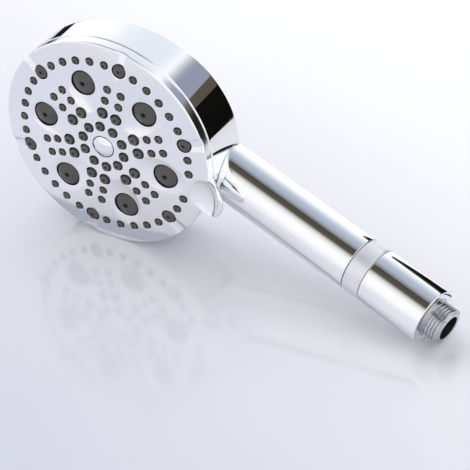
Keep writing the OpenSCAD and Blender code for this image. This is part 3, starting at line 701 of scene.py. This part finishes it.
def saddle_start(angle, radius, head_r):
    """Where a line along the handle at that angle and radius leaves the head's side cylinder."""
    y = radius * np.sin(angle)
    x = np.sqrt(head_r**2 - y**2)
    return (x - HEAD_R + radius * np.cos(angle) * math.sin(LEAN)) / math.cos(LEAN)


def build_tube():
    """Upper handle tube: its top end follows the head's side wall, with a fine rounded rim."""
    count, wall, soft = 240, 2.2, 0.45
    angle = np.arange(count) / count * TURN
    shell = Shell()
    index = np.arange(count)
    rings = []

    def ring(radius, z):
        z = np.broadcast_to(z, (count,))
        points = np.column_stack([radius * np.cos(angle), radius * np.sin(angle), z])
        rings.append(shell.add(points) + index)

    inner_start = saddle_start(angle, HANDLE_R - wall, HEAD_R + 0.06)
    start = saddle_start(angle, HANDLE_R, HEAD_R + 0.06)
    ring(HANDLE_R - wall, inner_start + 0.4)
    for t in np.radians([90, 60, 30, 0]):
        ring(HANDLE_R - soft + soft * math.cos(t), start + soft * (1 - math.sin(t)))
    for v in np.linspace(0.05, 1, 12):
        ring(HANDLE_R, start + soft + (TUBE_END - 0.3 - start - soft) * v)
    for t in np.radians([30, 60, 90]):
        ring(HANDLE_R - 0.3 + 0.3 * math.cos(t), TUBE_END - 0.3 + 0.3 * math.sin(t))
    ring(HANDLE_R - wall, TUBE_END)
    for first, second in zip(rings, rings[1:] + rings[:1]):
        shell.strip(second, first)
    tube = shell.build("upper_tube", from_handle, 38)
    finish_piece(tube, "handle", bright_chrome())
    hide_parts("handle_tube")
    return tube


def ring_body(name, node, inside, outer, ends, soft, grid, skin):
    """A ring round the handle's axis: the given inside, and a straight outside with rounded edges.

    grid is the number of points along the outside and round the axis.
    """
    (start, end), (steps, count) = ends, grid
    profile = (
        inside
        + arc((outer - soft, start + soft), soft, -90, 0, 4)[:-1]
        + [(outer, z) for z in np.linspace(start + soft, end - soft, steps)]
        + arc((outer - soft, end - soft), soft, 0, 90, 4)[1:]
    )
    points, quads = closed_lathe(profile, count)
    shell = Shell()
    shell.add(points, quads[:, ::-1])
    piece = shell.build(name, from_handle, 38)
    finish_piece(piece, "handle", skin)
    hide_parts(node)
    return piece


def build_window_ring():
    """Frosted ring between the tube and the sleeve."""
    inner = reach("coupling_collar")[2] + 0.1
    inside = [(inner, RING_END), (inner, RING_START)]
    return ring_body(
        "frosted_band", "window_ring", inside, RING_R, (RING_START, RING_END), 0.5, (14, 192),
        frosted_plastic(),
    )


def build_sleeve():
    """Lower sleeve: a chromed tube with a flat end wall round the nipple."""
    wall, end_wall = 2.2, 3.5
    start, end, r = SLEEVE_START, SLEEVE_END, SLEEVE_R
    hole = min(reach("nipple_seal")[2] - 1.8, THREAD_R + 0.8)
    inside = [(hole, end), (hole, end - end_wall), (r - wall, end - end_wall), (r - wall, start)]
    return ring_body(
        "plated_sleeve", "lower_sleeve", inside, r, (start, end), 0.4, (12, 240),
        bright_chrome(),
    )


def thread_wave(phase):
    """Section of a pipe thread over one pitch: 0 at the root, 1 at the crest, both flattened."""
    flank = np.clip((1 - np.abs((phase % 1) * 2 - 1) - 0.14) / 0.62, 0, 1)
    return smooth_step(flank) * 0.35 + flank * 0.65


def build_nipple():
    """Threaded inlet: one surface whose radius follows a helix, a bevelled mouth and a plain bore."""
    pitch, depth = sizes().thread_pitch, 1.162
    bore = 6.9
    start, end = reach("inlet_nipple")[0], NIPPLE_END
    root = THREAD_R - depth
    neck, shoulder = THREAD_R + 0.7, SLEEVE_END + 0.05
    count = 160
    angle = np.arange(count) / count * TURN
    shell = Shell()
    index = np.arange(count)
    rings = []

    def ring(radius, z):
        radius, z = np.broadcast_to(radius, (count,)), np.broadcast_to(z, (count,))
        points = np.column_stack([radius * np.cos(angle), radius * np.sin(angle), z])
        rings.append(shell.add(points) + index)

    ring(bore, end - 0.5)
    ring(bore, start)
    ring(reach("inlet_nipple")[2] - 0.01, start)
    ring(reach("inlet_nipple")[2] - 0.01, start + 3)
    ring(neck, start + 3)
    ring(neck, shoulder - 0.2)
    ring(neck - 0.2, shoulder)
    ring(root, shoulder)
    z0, z1 = shoulder + 0.5, end - 0.35
    for z in np.linspace(z0, z1, 96):
        fade = smooth_step((z - z0) / 1.0) * smooth_step((z1 + 0.5 - z) / 1.3)
        ring(root + depth * fade * thread_wave((z - z0) / pitch - angle / TURN), z)
    ring(root - 0.15, end - 0.1)
    ring(root - 0.4, end)
    ring(bore + 0.4, end)
    ring(bore + 0.1, end - 0.12)
    for first, second in zip(rings, rings[1:] + rings[:1]):
        shell.strip(second, first)
    nipple = shell.build("threaded_inlet", from_handle, 40)
    finish_piece(nipple, "handle", plated_thread())
    # Painted shade: the faces of the bore get a near-black material for the dark inside of the inlet.
    middle = face_middles(nipple) - AXIS_START
    off_axis = np.linalg.norm(middle - np.outer(middle @ ALONG, ALONG), axis=1)
    second_skin(nipple, dark_bore(), off_axis < (bore + 0.2) * MM)
    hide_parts("inlet_nipple")
    return nipple


# ---------------------------------------------------------------- materials


class Value:
    """A socket's value in an expression: arithmetic on it adds Math nodes."""

    def __init__(self, paint, socket):
        self.paint, self.socket = paint, socket

    def _math(self, operation, first, second=None):
        sockets = {0: first} if second is None else {0: first, 1: second}
        return self.paint.node("ShaderNodeMath", {"operation": operation}, sockets)

    def __add__(self, other):
        return self._math("ADD", self, other)

    __radd__ = __add__

    def __mul__(self, other):
        return self._math("MULTIPLY", self, other)

    __rmul__ = __mul__

    def __sub__(self, other):
        return self._math("SUBTRACT", self, other)

    def __rsub__(self, other):
        return self._math("SUBTRACT", other, self)

    def __truediv__(self, other):
        return self._math("DIVIDE", self, other)

    def clipped(self, low, high):
        """Ramps smoothly from 0 below low to 1 above high."""
        return self.paint.node(
            "ShaderNodeMapRange", {"interpolation_type": "SMOOTHSTEP"},
            {0: self, 1: low, 2: high, 3: 0.0, 4: 1.0},
        )


class Paint:
    """A material's node tree, with one method that adds any node."""

    def __init__(self, tree):
        self.tree = tree

    def node(self, kind, settings=None, sockets=None, output=0):
        """Adds a node, sets its options first and then its sockets; returns one output."""
        node = self.tree.nodes.new(kind)
        for key, value in (settings or {}).items():
            if key == "stops":
                stops = node.color_ramp.elements
                while len(stops) > 1:
                    stops.remove(stops[-1])
                stops[0].position, stops[0].color = value[0][0], (*value[0][1], 1.0)
                for place, colour in value[1:]:
                    stops.new(place).color = (*colour, 1.0)
            else:
                setattr(node, key, value)
        for key, value in (sockets or {}).items():
            if isinstance(value, Value):
                self.tree.links.new(value.socket, node.inputs[key])
            elif value is not None:
                node.inputs[key].default_value = value
        return Value(self, node.outputs[output])

    def place(self):
        """The point on the piece, in metres."""
        return self.node("ShaderNodeTexCoord", output="Object")

    def noise(self, scale, detail=3.0, rough=0.5, stretch=None):
        """Noise of that many features per metre."""
        vector = self.place()
        if stretch is not None:
            vector = self.node("ShaderNodeMapping", {}, {0: vector, "Scale": stretch})
        sockets = {"Vector": vector, "Scale": scale, "Detail": detail, "Roughness": rough}
        return self.node("ShaderNodeTexNoise", {}, sockets)

    def bump(self, height, strength, distance):
        """A normal from a height."""
        sockets = {"Strength": strength, "Distance": distance, "Height": height}
        return self.node("ShaderNodeBump", {}, sockets, "Normal")

    def mix(self, factor, first, second):
        """A colour between two."""
        return self.node(
            "ShaderNodeMix", {"data_type": "RGBA"}, {0: factor, 6: first, 7: second}, 2
        )


MADE = {}


def material(name, fill):
    """A material of this object's own, made once; fill gets its Paint and a way to set the shader."""
    if name in MADE:
        return MADE[name]
    made = MADE[name] = bpy.data.materials.new(name)
    made.use_nodes = True
    paint = Paint(made.node_tree)
    shader = next(n for n in made.node_tree.nodes if n.type == "BSDF_PRINCIPLED")

    def put(**sockets):
        for key, value in sockets.items():
            socket = shader.inputs[key.replace("_", " ")]
            if isinstance(value, Value):
                made.node_tree.links.new(value.socket, socket)
            else:
                socket.default_value = value

    fill(paint, put)
    return made


def rgba(colour, shade=1.0):
    """A colour with full alpha, scaled by a shade."""
    return tuple(min(c * shade, 1.0) for c in colour) + (1.0,)


def bright_chrome():
    """Mirror plating: faint handling haze and the soft waviness of polished metal."""

    def fill(paint, put):
        haze = paint.noise(55.0, 4.0, 0.6).clipped(0.46, 0.78)
        specks = paint.noise(900.0, 2.0, 0.5).clipped(0.66, 0.80)
        put(
            Base_Color=paint.mix(haze, rgba(colours().chrome), rgba(colours().chrome, 0.97)),
            Metallic=1.0,
            Roughness=0.045 + haze * 0.05 + specks * 0.04,
            Normal=paint.bump(paint.noise(38.0, 1.0, 0.4), 0.05, 0.0012),
        )

    return material("bright_chrome", fill)


def plated_thread():
    """Plating on the thread: duller and greyer than the shells, and rubbed where a nut has run."""

    def fill(paint, put):
        rub = paint.noise(700.0, 3.0, 0.6)
        put(
            Base_Color=paint.mix(rub, (0.50, 0.51, 0.53, 1.0), (0.70, 0.71, 0.73, 1.0)),
            Metallic=1.0,
            Roughness=0.13 + rub * 0.12,
        )

    return material("plated_thread", fill)


def dark_bore():
    """Painted shade for the inlet's bore: a near-black, slightly mottled wall for the dark inside of the inlet."""

    def fill(paint, put):
        shade_mottle = paint.noise(500.0, 3.0, 0.6)
        put(
            Base_Color=paint.mix(shade_mottle, (0.006, 0.006, 0.006, 1.0), (0.014, 0.013, 0.012, 1.0)),
            Roughness=0.45 + shade_mottle * 0.2,
            Specular_IOR_Level=0.25,
        )

    return material("dark_bore", fill)


def satin_plating():
    """Plating of the face: a soft satin sheen with fine grain, brighter where it is rubbed."""

    def fill(paint, put):
        cloud = paint.noise(42.0, 3.0, 0.55)
        grain = paint.noise(2600.0, 2.0, 0.6)
        put(
            Base_Color=paint.mix(cloud, rgba(colours().satin, 0.97), rgba(colours().satin)),
            Metallic=1.0,
            Roughness=0.15 + cloud.clipped(0.35, 0.75) * 0.04,
            Normal=paint.bump(grain, 0.04, 0.0003),
        )

    return material("satin_plating", fill)


def mottled(name, colour, cloud, shades, roughness, grain, **extra):
    """A material with mottling in its colour and roughness, and a fine grain.

    cloud gives the mottling, shades the colour's darkest and lightest, roughness a base and
    what the mottling adds, and grain its features per metre, its noise and the bump's strength.
    """

    def fill(paint, put):
        mottle = cloud(paint)
        scale, rough, strength = grain
        put(
            Base_Color=paint.mix(mottle, rgba(colour, shades[0]), rgba(colour, shades[1])),
            Roughness=roughness[0] + mottle * roughness[1],
            Normal=paint.bump(paint.noise(scale, 2.0, rough), strength, 0.0003),
            **extra,
        )

    return material(name, fill)


def soft_silicone():
    """Matt silicone with a fine moulded grain and slightly paler, dusty patches."""
    return mottled(
        "soft_silicone", colours().silicone, lambda paint: paint.noise(160.0, 4.0, 0.6).clipped(0.45, 0.75),
        (1.0, 1.7), (0.42, 0.2), (3200.0, 0.6, 0.12), Specular_IOR_Level=0.55,
    )


def jet_plastic():
    """Dark moulded plastic with a low sheen."""
    return mottled(
        "polished_dark_plastic", colours().jet, lambda paint: paint.noise(210.0, 3.0, 0.5),
        (0.85, 1.25), (0.20, 0.10), (1800.0, 0.5, 0.06), Specular_IOR_Level=0.5,
    )


def frosted_plastic():
    """Milky, blasted plastic with a soft glow, and silvery like the plating beside it."""
    return mottled(
        "frosted_plastic", colours().frost, lambda paint: paint.noise(120.0, 3.0, 0.5),
        (0.95, 1.05), (0.30, 0.06), (1500.0, 0.6, 0.15),
        Metallic=0.45, Subsurface_Weight=0.25, Subsurface_Radius=(0.004, 0.004, 0.005),
        Subsurface_Scale=1.0, Coat_Weight=0.5, Coat_Roughness=0.2, IOR=1.49,
    )


def moulded(name, colour, roughness):
    """Moulded plastic or rubber: slight mottling and a fine grain."""
    return mottled(
        name + "_moulded", colour, lambda paint: paint.noise(240.0, 3.0, 0.5),
        (0.92, 1.06), (roughness, 0.12), (2100.0, 0.5, 0.08),
    )


def turned_steel():
    """Stainless steel with fine drawn lines."""

    def fill(paint, put):
        lines = paint.noise(900.0, 2.0, 0.6, (1.0, 14.0, 1.0))
        put(
            Base_Color=rgba((0.55, 0.55, 0.56)),
            Metallic=1.0,
            Roughness=0.24 + lines * 0.16,
            Normal=paint.bump(lines, 0.06, 0.0002),
        )

    return material("turned_steel", fill)


def finish_piece(piece, body, skin):
    """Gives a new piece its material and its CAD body."""
    piece.data.materials.clear()
    piece.data.materials.append(skin)
    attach(piece, body)


INNER_FINISHES = {
    "white_plastic": ((0.78, 0.78, 0.75), 0.42),
    "grey_plastic": ((0.34, 0.35, 0.37), 0.45),
    "green_plastic": ((0.03, 0.16, 0.07), 0.4),
    "blue_plastic": ((0.02, 0.06, 0.32), 0.4),
    "seal_rubber": ((0.02, 0.02, 0.022), 0.6),
}


def finish_inner_nodes():
    """Material for every CAD node that stays as it was packed."""
    slots = {part["node"]: part["material_slot"] for part in frame["record"]["subparts"]}
    for node, piece in frame["nodes"].items():
        slot = slots[node]
        if slot == "stainless":
            skin = turned_steel()
        elif slot in INNER_FINISHES:
            skin = moulded(slot, *INNER_FINISHES[slot])
        else:
            skin = bright_chrome()
        piece.data.materials.clear()
        piece.data.materials.append(skin)


# ---------------------------------------------------------------- stage


def in_scene(name, data):
    """A new object in the scene's own collection."""
    item = bpy.data.objects.new(name, data)
    bpy.context.scene.collection.objects.link(item)
    return item


def four_cornered(name, corners):
    """An object of one face with four corners."""
    mesh = bpy.data.meshes.new(name)
    mesh.from_pydata([Vector(c) for c in corners], [], [(0, 1, 2, 3)])
    return in_scene(name, mesh)


def build_floor():
    """Wide glossy floor, pale with a hint of lilac, with painted light: darker and lilac towards the front left,
    near white towards the back right.
    """
    half = 3.0
    corners = [(-half, -half, 0), (half, -half, 0), (half, half, 0), (-half, half, 0)]
    floor = four_cornered("floor", corners)

    def fill(paint, put):
        cloud = paint.noise(6.0, 2.0, 0.5)
        far = paint.node(
            "ShaderNodeVectorMath", {"operation": "DOT_PRODUCT"},
            {0: paint.place(), 1: (0.5, 0.9, 0.0)}, "Value",
        )
        # Painted light: the floor's colour runs from lilac towards the front left to near white towards the back
        # right.
        painted_light_ramp = (far + cloud * 0.05).clipped(-0.30, 0.34)
        put(
            Base_Color=paint.mix(painted_light_ramp, rgba(colours().floor), (0.98, 0.98, 0.99, 1.0)),
            Roughness=0.07 + cloud * 0.04,
            IOR=1.65,
        )

    floor.data.materials.append(material("studio_floor", fill))


# The surroundings as the handle mirrors them, turned about its axis: 0 level in front,
# 90 overhead, 180 level behind; each stop is an angle in degrees and a colour
RISE = unit(np.array([0.0, 0.0, 1.0]) - ALONG * ALONG[2])
TOWARD = np.cross(RISE, ALONG)
if TOWARD[1] > 0:
    TOWARD = -TOWARD
BESIDE = -0.38
BAND = [
    (-180, (1.12, 1.12, 1.12)),
    (-8, (0.88, 0.89, 0.93)),
    (10, (1.05, 1.05, 1.06)),
    (33, (1.05, 1.05, 1.05)),
    (48, (0.80, 0.79, 0.77)),
    (58, (0.30, 0.28, 0.25)),
    (61, (0.100, 0.090, 0.070)),
    (82, (0.075, 0.066, 0.050)),
    (85, (0.22, 0.23, 0.24)),
    (99, (0.42, 0.46, 0.54)),
    (118, (0.50, 0.56, 0.68)),
    (133, (0.74, 0.80, 0.90)),
    (150, (1.12, 1.12, 1.12)),
    (180, (1.12, 1.12, 1.12)),
]


def build_world():
    """Studio surroundings: white, with a band round the handle and one dimmer patch behind."""
    world = bpy.data.worlds.new("studio")
    bpy.context.scene.world = world
    world.use_nodes = True
    paint = Paint(world.node_tree)
    background = next(n for n in world.node_tree.nodes if n.type == "BACKGROUND")
    direction = paint.node("ShaderNodeTexCoord", output="Generated")

    def along(axis):
        """How far the direction points along an axis, from -1 to 1."""
        return paint.node(
            "ShaderNodeVectorMath", {"operation": "DOT_PRODUCT"}, {0: direction, 1: tuple(axis)}, "Value"
        )

    def patch(azimuth, elevation, half_angle, soft):
        """1 inside a round patch of sky, falling to 0 over a soft border."""
        a, e, inner, outer = np.radians([azimuth, elevation, half_angle, half_angle + soft])
        axis = (math.sin(a) * math.cos(e), -math.cos(a) * math.cos(e), math.sin(e))
        return along(axis).clipped(math.cos(outer), math.cos(inner))

    turn = paint.node("ShaderNodeMath", {"operation": "ARCTAN2"}, {0: along(RISE), 1: along(TOWARD)})
    ramp = paint.node(
        "ShaderNodeValToRGB", {"stops": [(angle / 360 + 0.5, shade) for angle, shade in BAND]},
        {0: turn / TURN + 0.5},
    )
    beside = along(ALONG)
    band = ((beside - BESIDE).clipped(-0.55, -0.30)) * (1 - (beside - BESIDE).clipped(0.30, 0.55))
    white = (1.12, 1.12, 1.13, 1.0)
    sky = paint.mix(band, white, ramp)
    sky = paint.mix(patch(138, 24, 6, 14), sky, (0.30, 0.33, 0.42, 1.0))
    world.node_tree.links.new(sky.socket, background.inputs["Color"])
    background.inputs["Strength"].default_value = 1.0


def card(name, azimuth, distance, left, right, low, high, shade):
    """Upright card that only mirrors see; azimuth is counted from -Y toward +X."""
    a = math.radians(azimuth)
    out = Vector((math.sin(a), -math.cos(a), 0))
    across = Vector((math.cos(a), math.sin(a), 0))
    middle = Vector(tuple(FACE))
    middle.z = 0
    base = middle + out * distance
    corners = [base + across * side + Vector((0, 0, z)) for side, z in
               ((left, low), (right, low), (right, high), (left, high))]
    plain_card(name, corners, shade)


def plain_card(name, corners, shade):
    """Four-cornered card of one brightness, seen only in mirrors and only from its object side."""
    a, b, c = (np.array(corner) for corner in corners[:3])
    middle = sum(np.array(corner) for corner in corners) / 4
    if np.cross(b - a, c - b) @ (FACE + np.array([0.05, 0, 0.05]) - middle) < 0:
        corners = corners[::-1]
    piece = four_cornered(name, corners)
    skin = bpy.data.materials.new(name)
    skin.use_nodes = True
    nodes = skin.node_tree.nodes
    nodes.remove(next(n for n in nodes if n.type == "BSDF_PRINCIPLED"))
    paint = Paint(skin.node_tree)
    away = paint.node("ShaderNodeNewGeometry", output="Backfacing")
    glow = paint.node("ShaderNodeEmission", {}, {"Color": (*shade, 1.0)})
    clear = paint.node("ShaderNodeBsdfTransparent")
    both = paint.node("ShaderNodeMixShader", {}, {0: away, 1: glow, 2: clear})
    output = next(n for n in nodes if n.type == "OUTPUT_MATERIAL")
    skin.node_tree.links.new(both.socket, output.inputs["Surface"])
    piece.data.materials.append(skin)
    piece.visible_camera = piece.visible_diffuse = piece.visible_shadow = False


def build_cards():
    """Dark cards whose mirror images draw the black bands on the plated side wall."""
    card("black_card", 135, 0.32, -0.12, 0.12, 0.0, 0.145, (0.004, 0.004, 0.003))
    card("brown_card", 135, 0.325, -0.12, 0.12, 0.145, 0.19, (0.10, 0.085, 0.07))
    card("thin_card", -136, 0.45, -0.25, 0.25, 0.0, 0.085, (0.01, 0.013, 0.018))
    build_behind_strip()
    build_front_floor()
    build_head_strip()


def build_front_floor():
    """Glowing cards on the floor that only mirrors see, for the relief to mirror: a painted shadow at the foot of
    the face, and bright floor far in front.
    """
    for name, near, far, shade in (
        # foot_card is a painted shadow: the floor's shade at the foot of the face, as the mirrors see it.
        ("foot_card", 0.002, 0.011, (0.40, 0.42, 0.50)),
        ("mid_card", 0.20, 0.27, (0.74, 0.75, 0.81)),
        ("far_card", 0.27, 0.70, (1.0, 1.0, 1.03)),
    ):
        y0, y1 = FACE[1] - near, FACE[1] - far
        corners = [(-0.6, y0, 0.0015), (0.25, y0, 0.0015), (0.25, y1, 0.0015), (-0.6, y1, 0.0015)]
        plain_card(name, corners, shade)


def build_head_strip():
    """Dark strip on the floor behind the head, which draws the thin line on its far edge."""
    away = math.radians(-149)
    out = np.array([math.sin(away), -math.cos(away), 0.0])
    feet = []
    for turn in np.radians([20, 50, 80, 110, 140, 165]):
        edge = from_head(np.array([HEAD_R * np.cos(turn), HEAD_R * np.sin(turn), -27.0]))
        feet.append([edge + out * (edge[2] / math.tan(math.radians(e))) for e in (42, 31)])
    for k in range(len(feet) - 1):
        corners = [feet[k][0], feet[k + 1][0], feet[k + 1][1], feet[k][1]]
        plain_card("head_strip_%d" % k, [(c[0], c[1], 0.0015) for c in corners], (0.10, 0.10, 0.11))


def build_behind_strip():
    """Dark strip on the floor behind the handle; it draws the thin dark line on the plating's far edge."""
    out = unit(-np.array([TOWARD[0], TOWARD[1], 0.0]))
    corners = []
    for s, angles in ((-110.0, (40, 38.4)), (150.0, (38.4, 40))):
        point = AXIS_START + ALONG * s * MM + np.array([0, 0, HANDLE_R * MM * 0.7])
        for e in angles:
            foot = point + out * (point[2] / math.tan(math.radians(e)))
            corners.append((foot[0], foot[1], 0.002))
    plain_card("behind_strip", corners, (0.06, 0.06, 0.06))


def build_lights():
    """One large soft light from the upper left front."""
    light = bpy.data.lights.new("key_light", "AREA")
    light.energy = 5.0
    light.size = 0.9
    lamp = in_scene("key_light", light)
    target = Vector(tuple(FACE)) + Vector((0.05, 0, 0))
    lamp.location = Vector((-0.55, 0.25, 1.1))
    lamp.rotation_euler = (target - lamp.location).to_track_quat("-Z", "Y").to_euler()
    lamp.visible_glossy = False


# The camera's direction in degrees, its roll, its distance and its target from the face's
# centre in head radii, and its lens in millimetres
CAMERA_AZIMUTH, CAMERA_ELEVATION, CAMERA_ROLL = 30.84, 37.11, -2.70
CAMERA_DISTANCE, CAMERA_TARGET, CAMERA_LENS = 19.5, (1.187, 0.083, -0.632), 175.4


def build_camera():
    """Long lens, looking down on the face from the front right."""
    azimuth, elevation = math.radians(CAMERA_AZIMUTH), math.radians(CAMERA_ELEVATION)
    radius = HEAD_R * MM
    target = Vector(tuple(FACE)) + Vector(CAMERA_TARGET) * radius
    back = Vector((math.sin(azimuth) * math.cos(elevation), -math.cos(azimuth) * math.cos(elevation),
                   math.sin(elevation)))
    camera_data = bpy.data.cameras.new("camera")
    camera_data.lens = CAMERA_LENS
    camera_data.sensor_width = 36
    camera = in_scene("camera", camera_data)
    camera.location = target + back * (CAMERA_DISTANCE * radius)
    roll = Matrix.Rotation(math.radians(CAMERA_ROLL), 3, "Z")
    camera.rotation_euler = (back.to_track_quat("Z", "Y").to_matrix() @ roll).to_euler()
    bpy.context.scene.camera = camera
    bpy.context.scene.view_settings.view_transform = "Standard"


# ---------------------------------------------------------------- operators


class SHOWER_OT_stage(bpy.types.Operator):
    """Builds the floor, the surroundings, the cards, the light and the camera"""

    bl_idname = "shower.stage"
    bl_label = "Stage"

    def execute(self, context):
        build_floor()
        build_world()
        build_cards()
        build_lights()
        build_camera()
        return {"FINISHED"}


class SHOWER_OT_inner(bpy.types.Operator):
    """Finishes the pieces inside"""

    bl_idname = "shower.inner"
    bl_label = "Inner pieces"

    def execute(self, context):
        finish_inner_nodes()
        return {"FINISHED"}


class SHOWER_OT_cover(bpy.types.Operator):
    """Builds the spray face with its thumb tab"""

    bl_idname = "shower.cover"
    bl_label = "Front cover"

    def execute(self, context):
        build_cover()
        return {"FINISHED"}


class SHOWER_OT_mat(bpy.types.Operator):
    """Builds the soft nozzles"""

    bl_idname = "shower.mat"
    bl_label = "Nozzle mat"

    def execute(self, context):
        build_mat()
        return {"FINISHED"}


class SHOWER_OT_jets(bpy.types.Operator):
    """Builds the massage jets and the rim nozzles"""

    bl_idname = "shower.jets"
    bl_label = "Hard nozzles"

    def execute(self, context):
        build_hard_nozzles()
        return {"FINISHED"}


class SHOWER_OT_cap(bpy.types.Operator):
    """Builds the cap in the middle of the face"""

    bl_idname = "shower.cap"
    bl_label = "Centre cap"

    def execute(self, context):
        build_cap()
        return {"FINISHED"}


class SHOWER_OT_housing(bpy.types.Operator):
    """Builds the head's plated shell"""

    bl_idname = "shower.housing"
    bl_label = "Rear housing"

    def execute(self, context):
        build_housing()
        return {"FINISHED"}


class SHOWER_OT_handle(bpy.types.Operator):
    """Builds the handle's outer pieces"""

    bl_idname = "shower.handle"
    bl_label = "Handle"

    def execute(self, context):
        build_tube()
        build_window_ring()
        build_sleeve()
        build_nipple()
        return {"FINISHED"}


OPERATORS = [
    SHOWER_OT_stage,
    SHOWER_OT_inner,
    SHOWER_OT_cover,
    SHOWER_OT_mat,
    SHOWER_OT_jets,
    SHOWER_OT_cap,
    SHOWER_OT_housing,
    SHOWER_OT_handle,
]


class SHOWER_PT_panel(bpy.types.Panel):
    """Lists the builders and their settings."""

    bl_label = "Shower head"
    bl_space_type = "VIEW_3D"
    bl_region_type = "UI"
    bl_category = "Shower"

    def draw(self, context):
        column = self.layout.column()
        for operator in OPERATORS:
            column.operator(operator.bl_idname)
        for group in (context.scene.shower_sizes, context.scene.shower_colours):
            for name in group.__annotations__:
                column.prop(group, name)


CLASSES = [ShowerSizes, ShowerColours, *OPERATORS, SHOWER_PT_panel]


def register():
    """Registers the classes and puts the settings on the scene."""
    for item in CLASSES:
        bpy.utils.register_class(item)
    bpy.types.Scene.shower_sizes = PointerProperty(type=ShowerSizes)
    bpy.types.Scene.shower_colours = PointerProperty(type=ShowerColours)


def unregister():
    """Takes the settings and the classes away again."""
    del bpy.types.Scene.shower_sizes
    del bpy.types.Scene.shower_colours
    for item in reversed(CLASSES):
        bpy.utils.unregister_class(item)


def main():
    """Registers the classes and builds everything in order."""
    register()
    for operator in OPERATORS:
        group, name = operator.bl_idname.split(".")
        getattr(getattr(bpy.ops, group), name)()


if __name__ == "__main__":
    main()
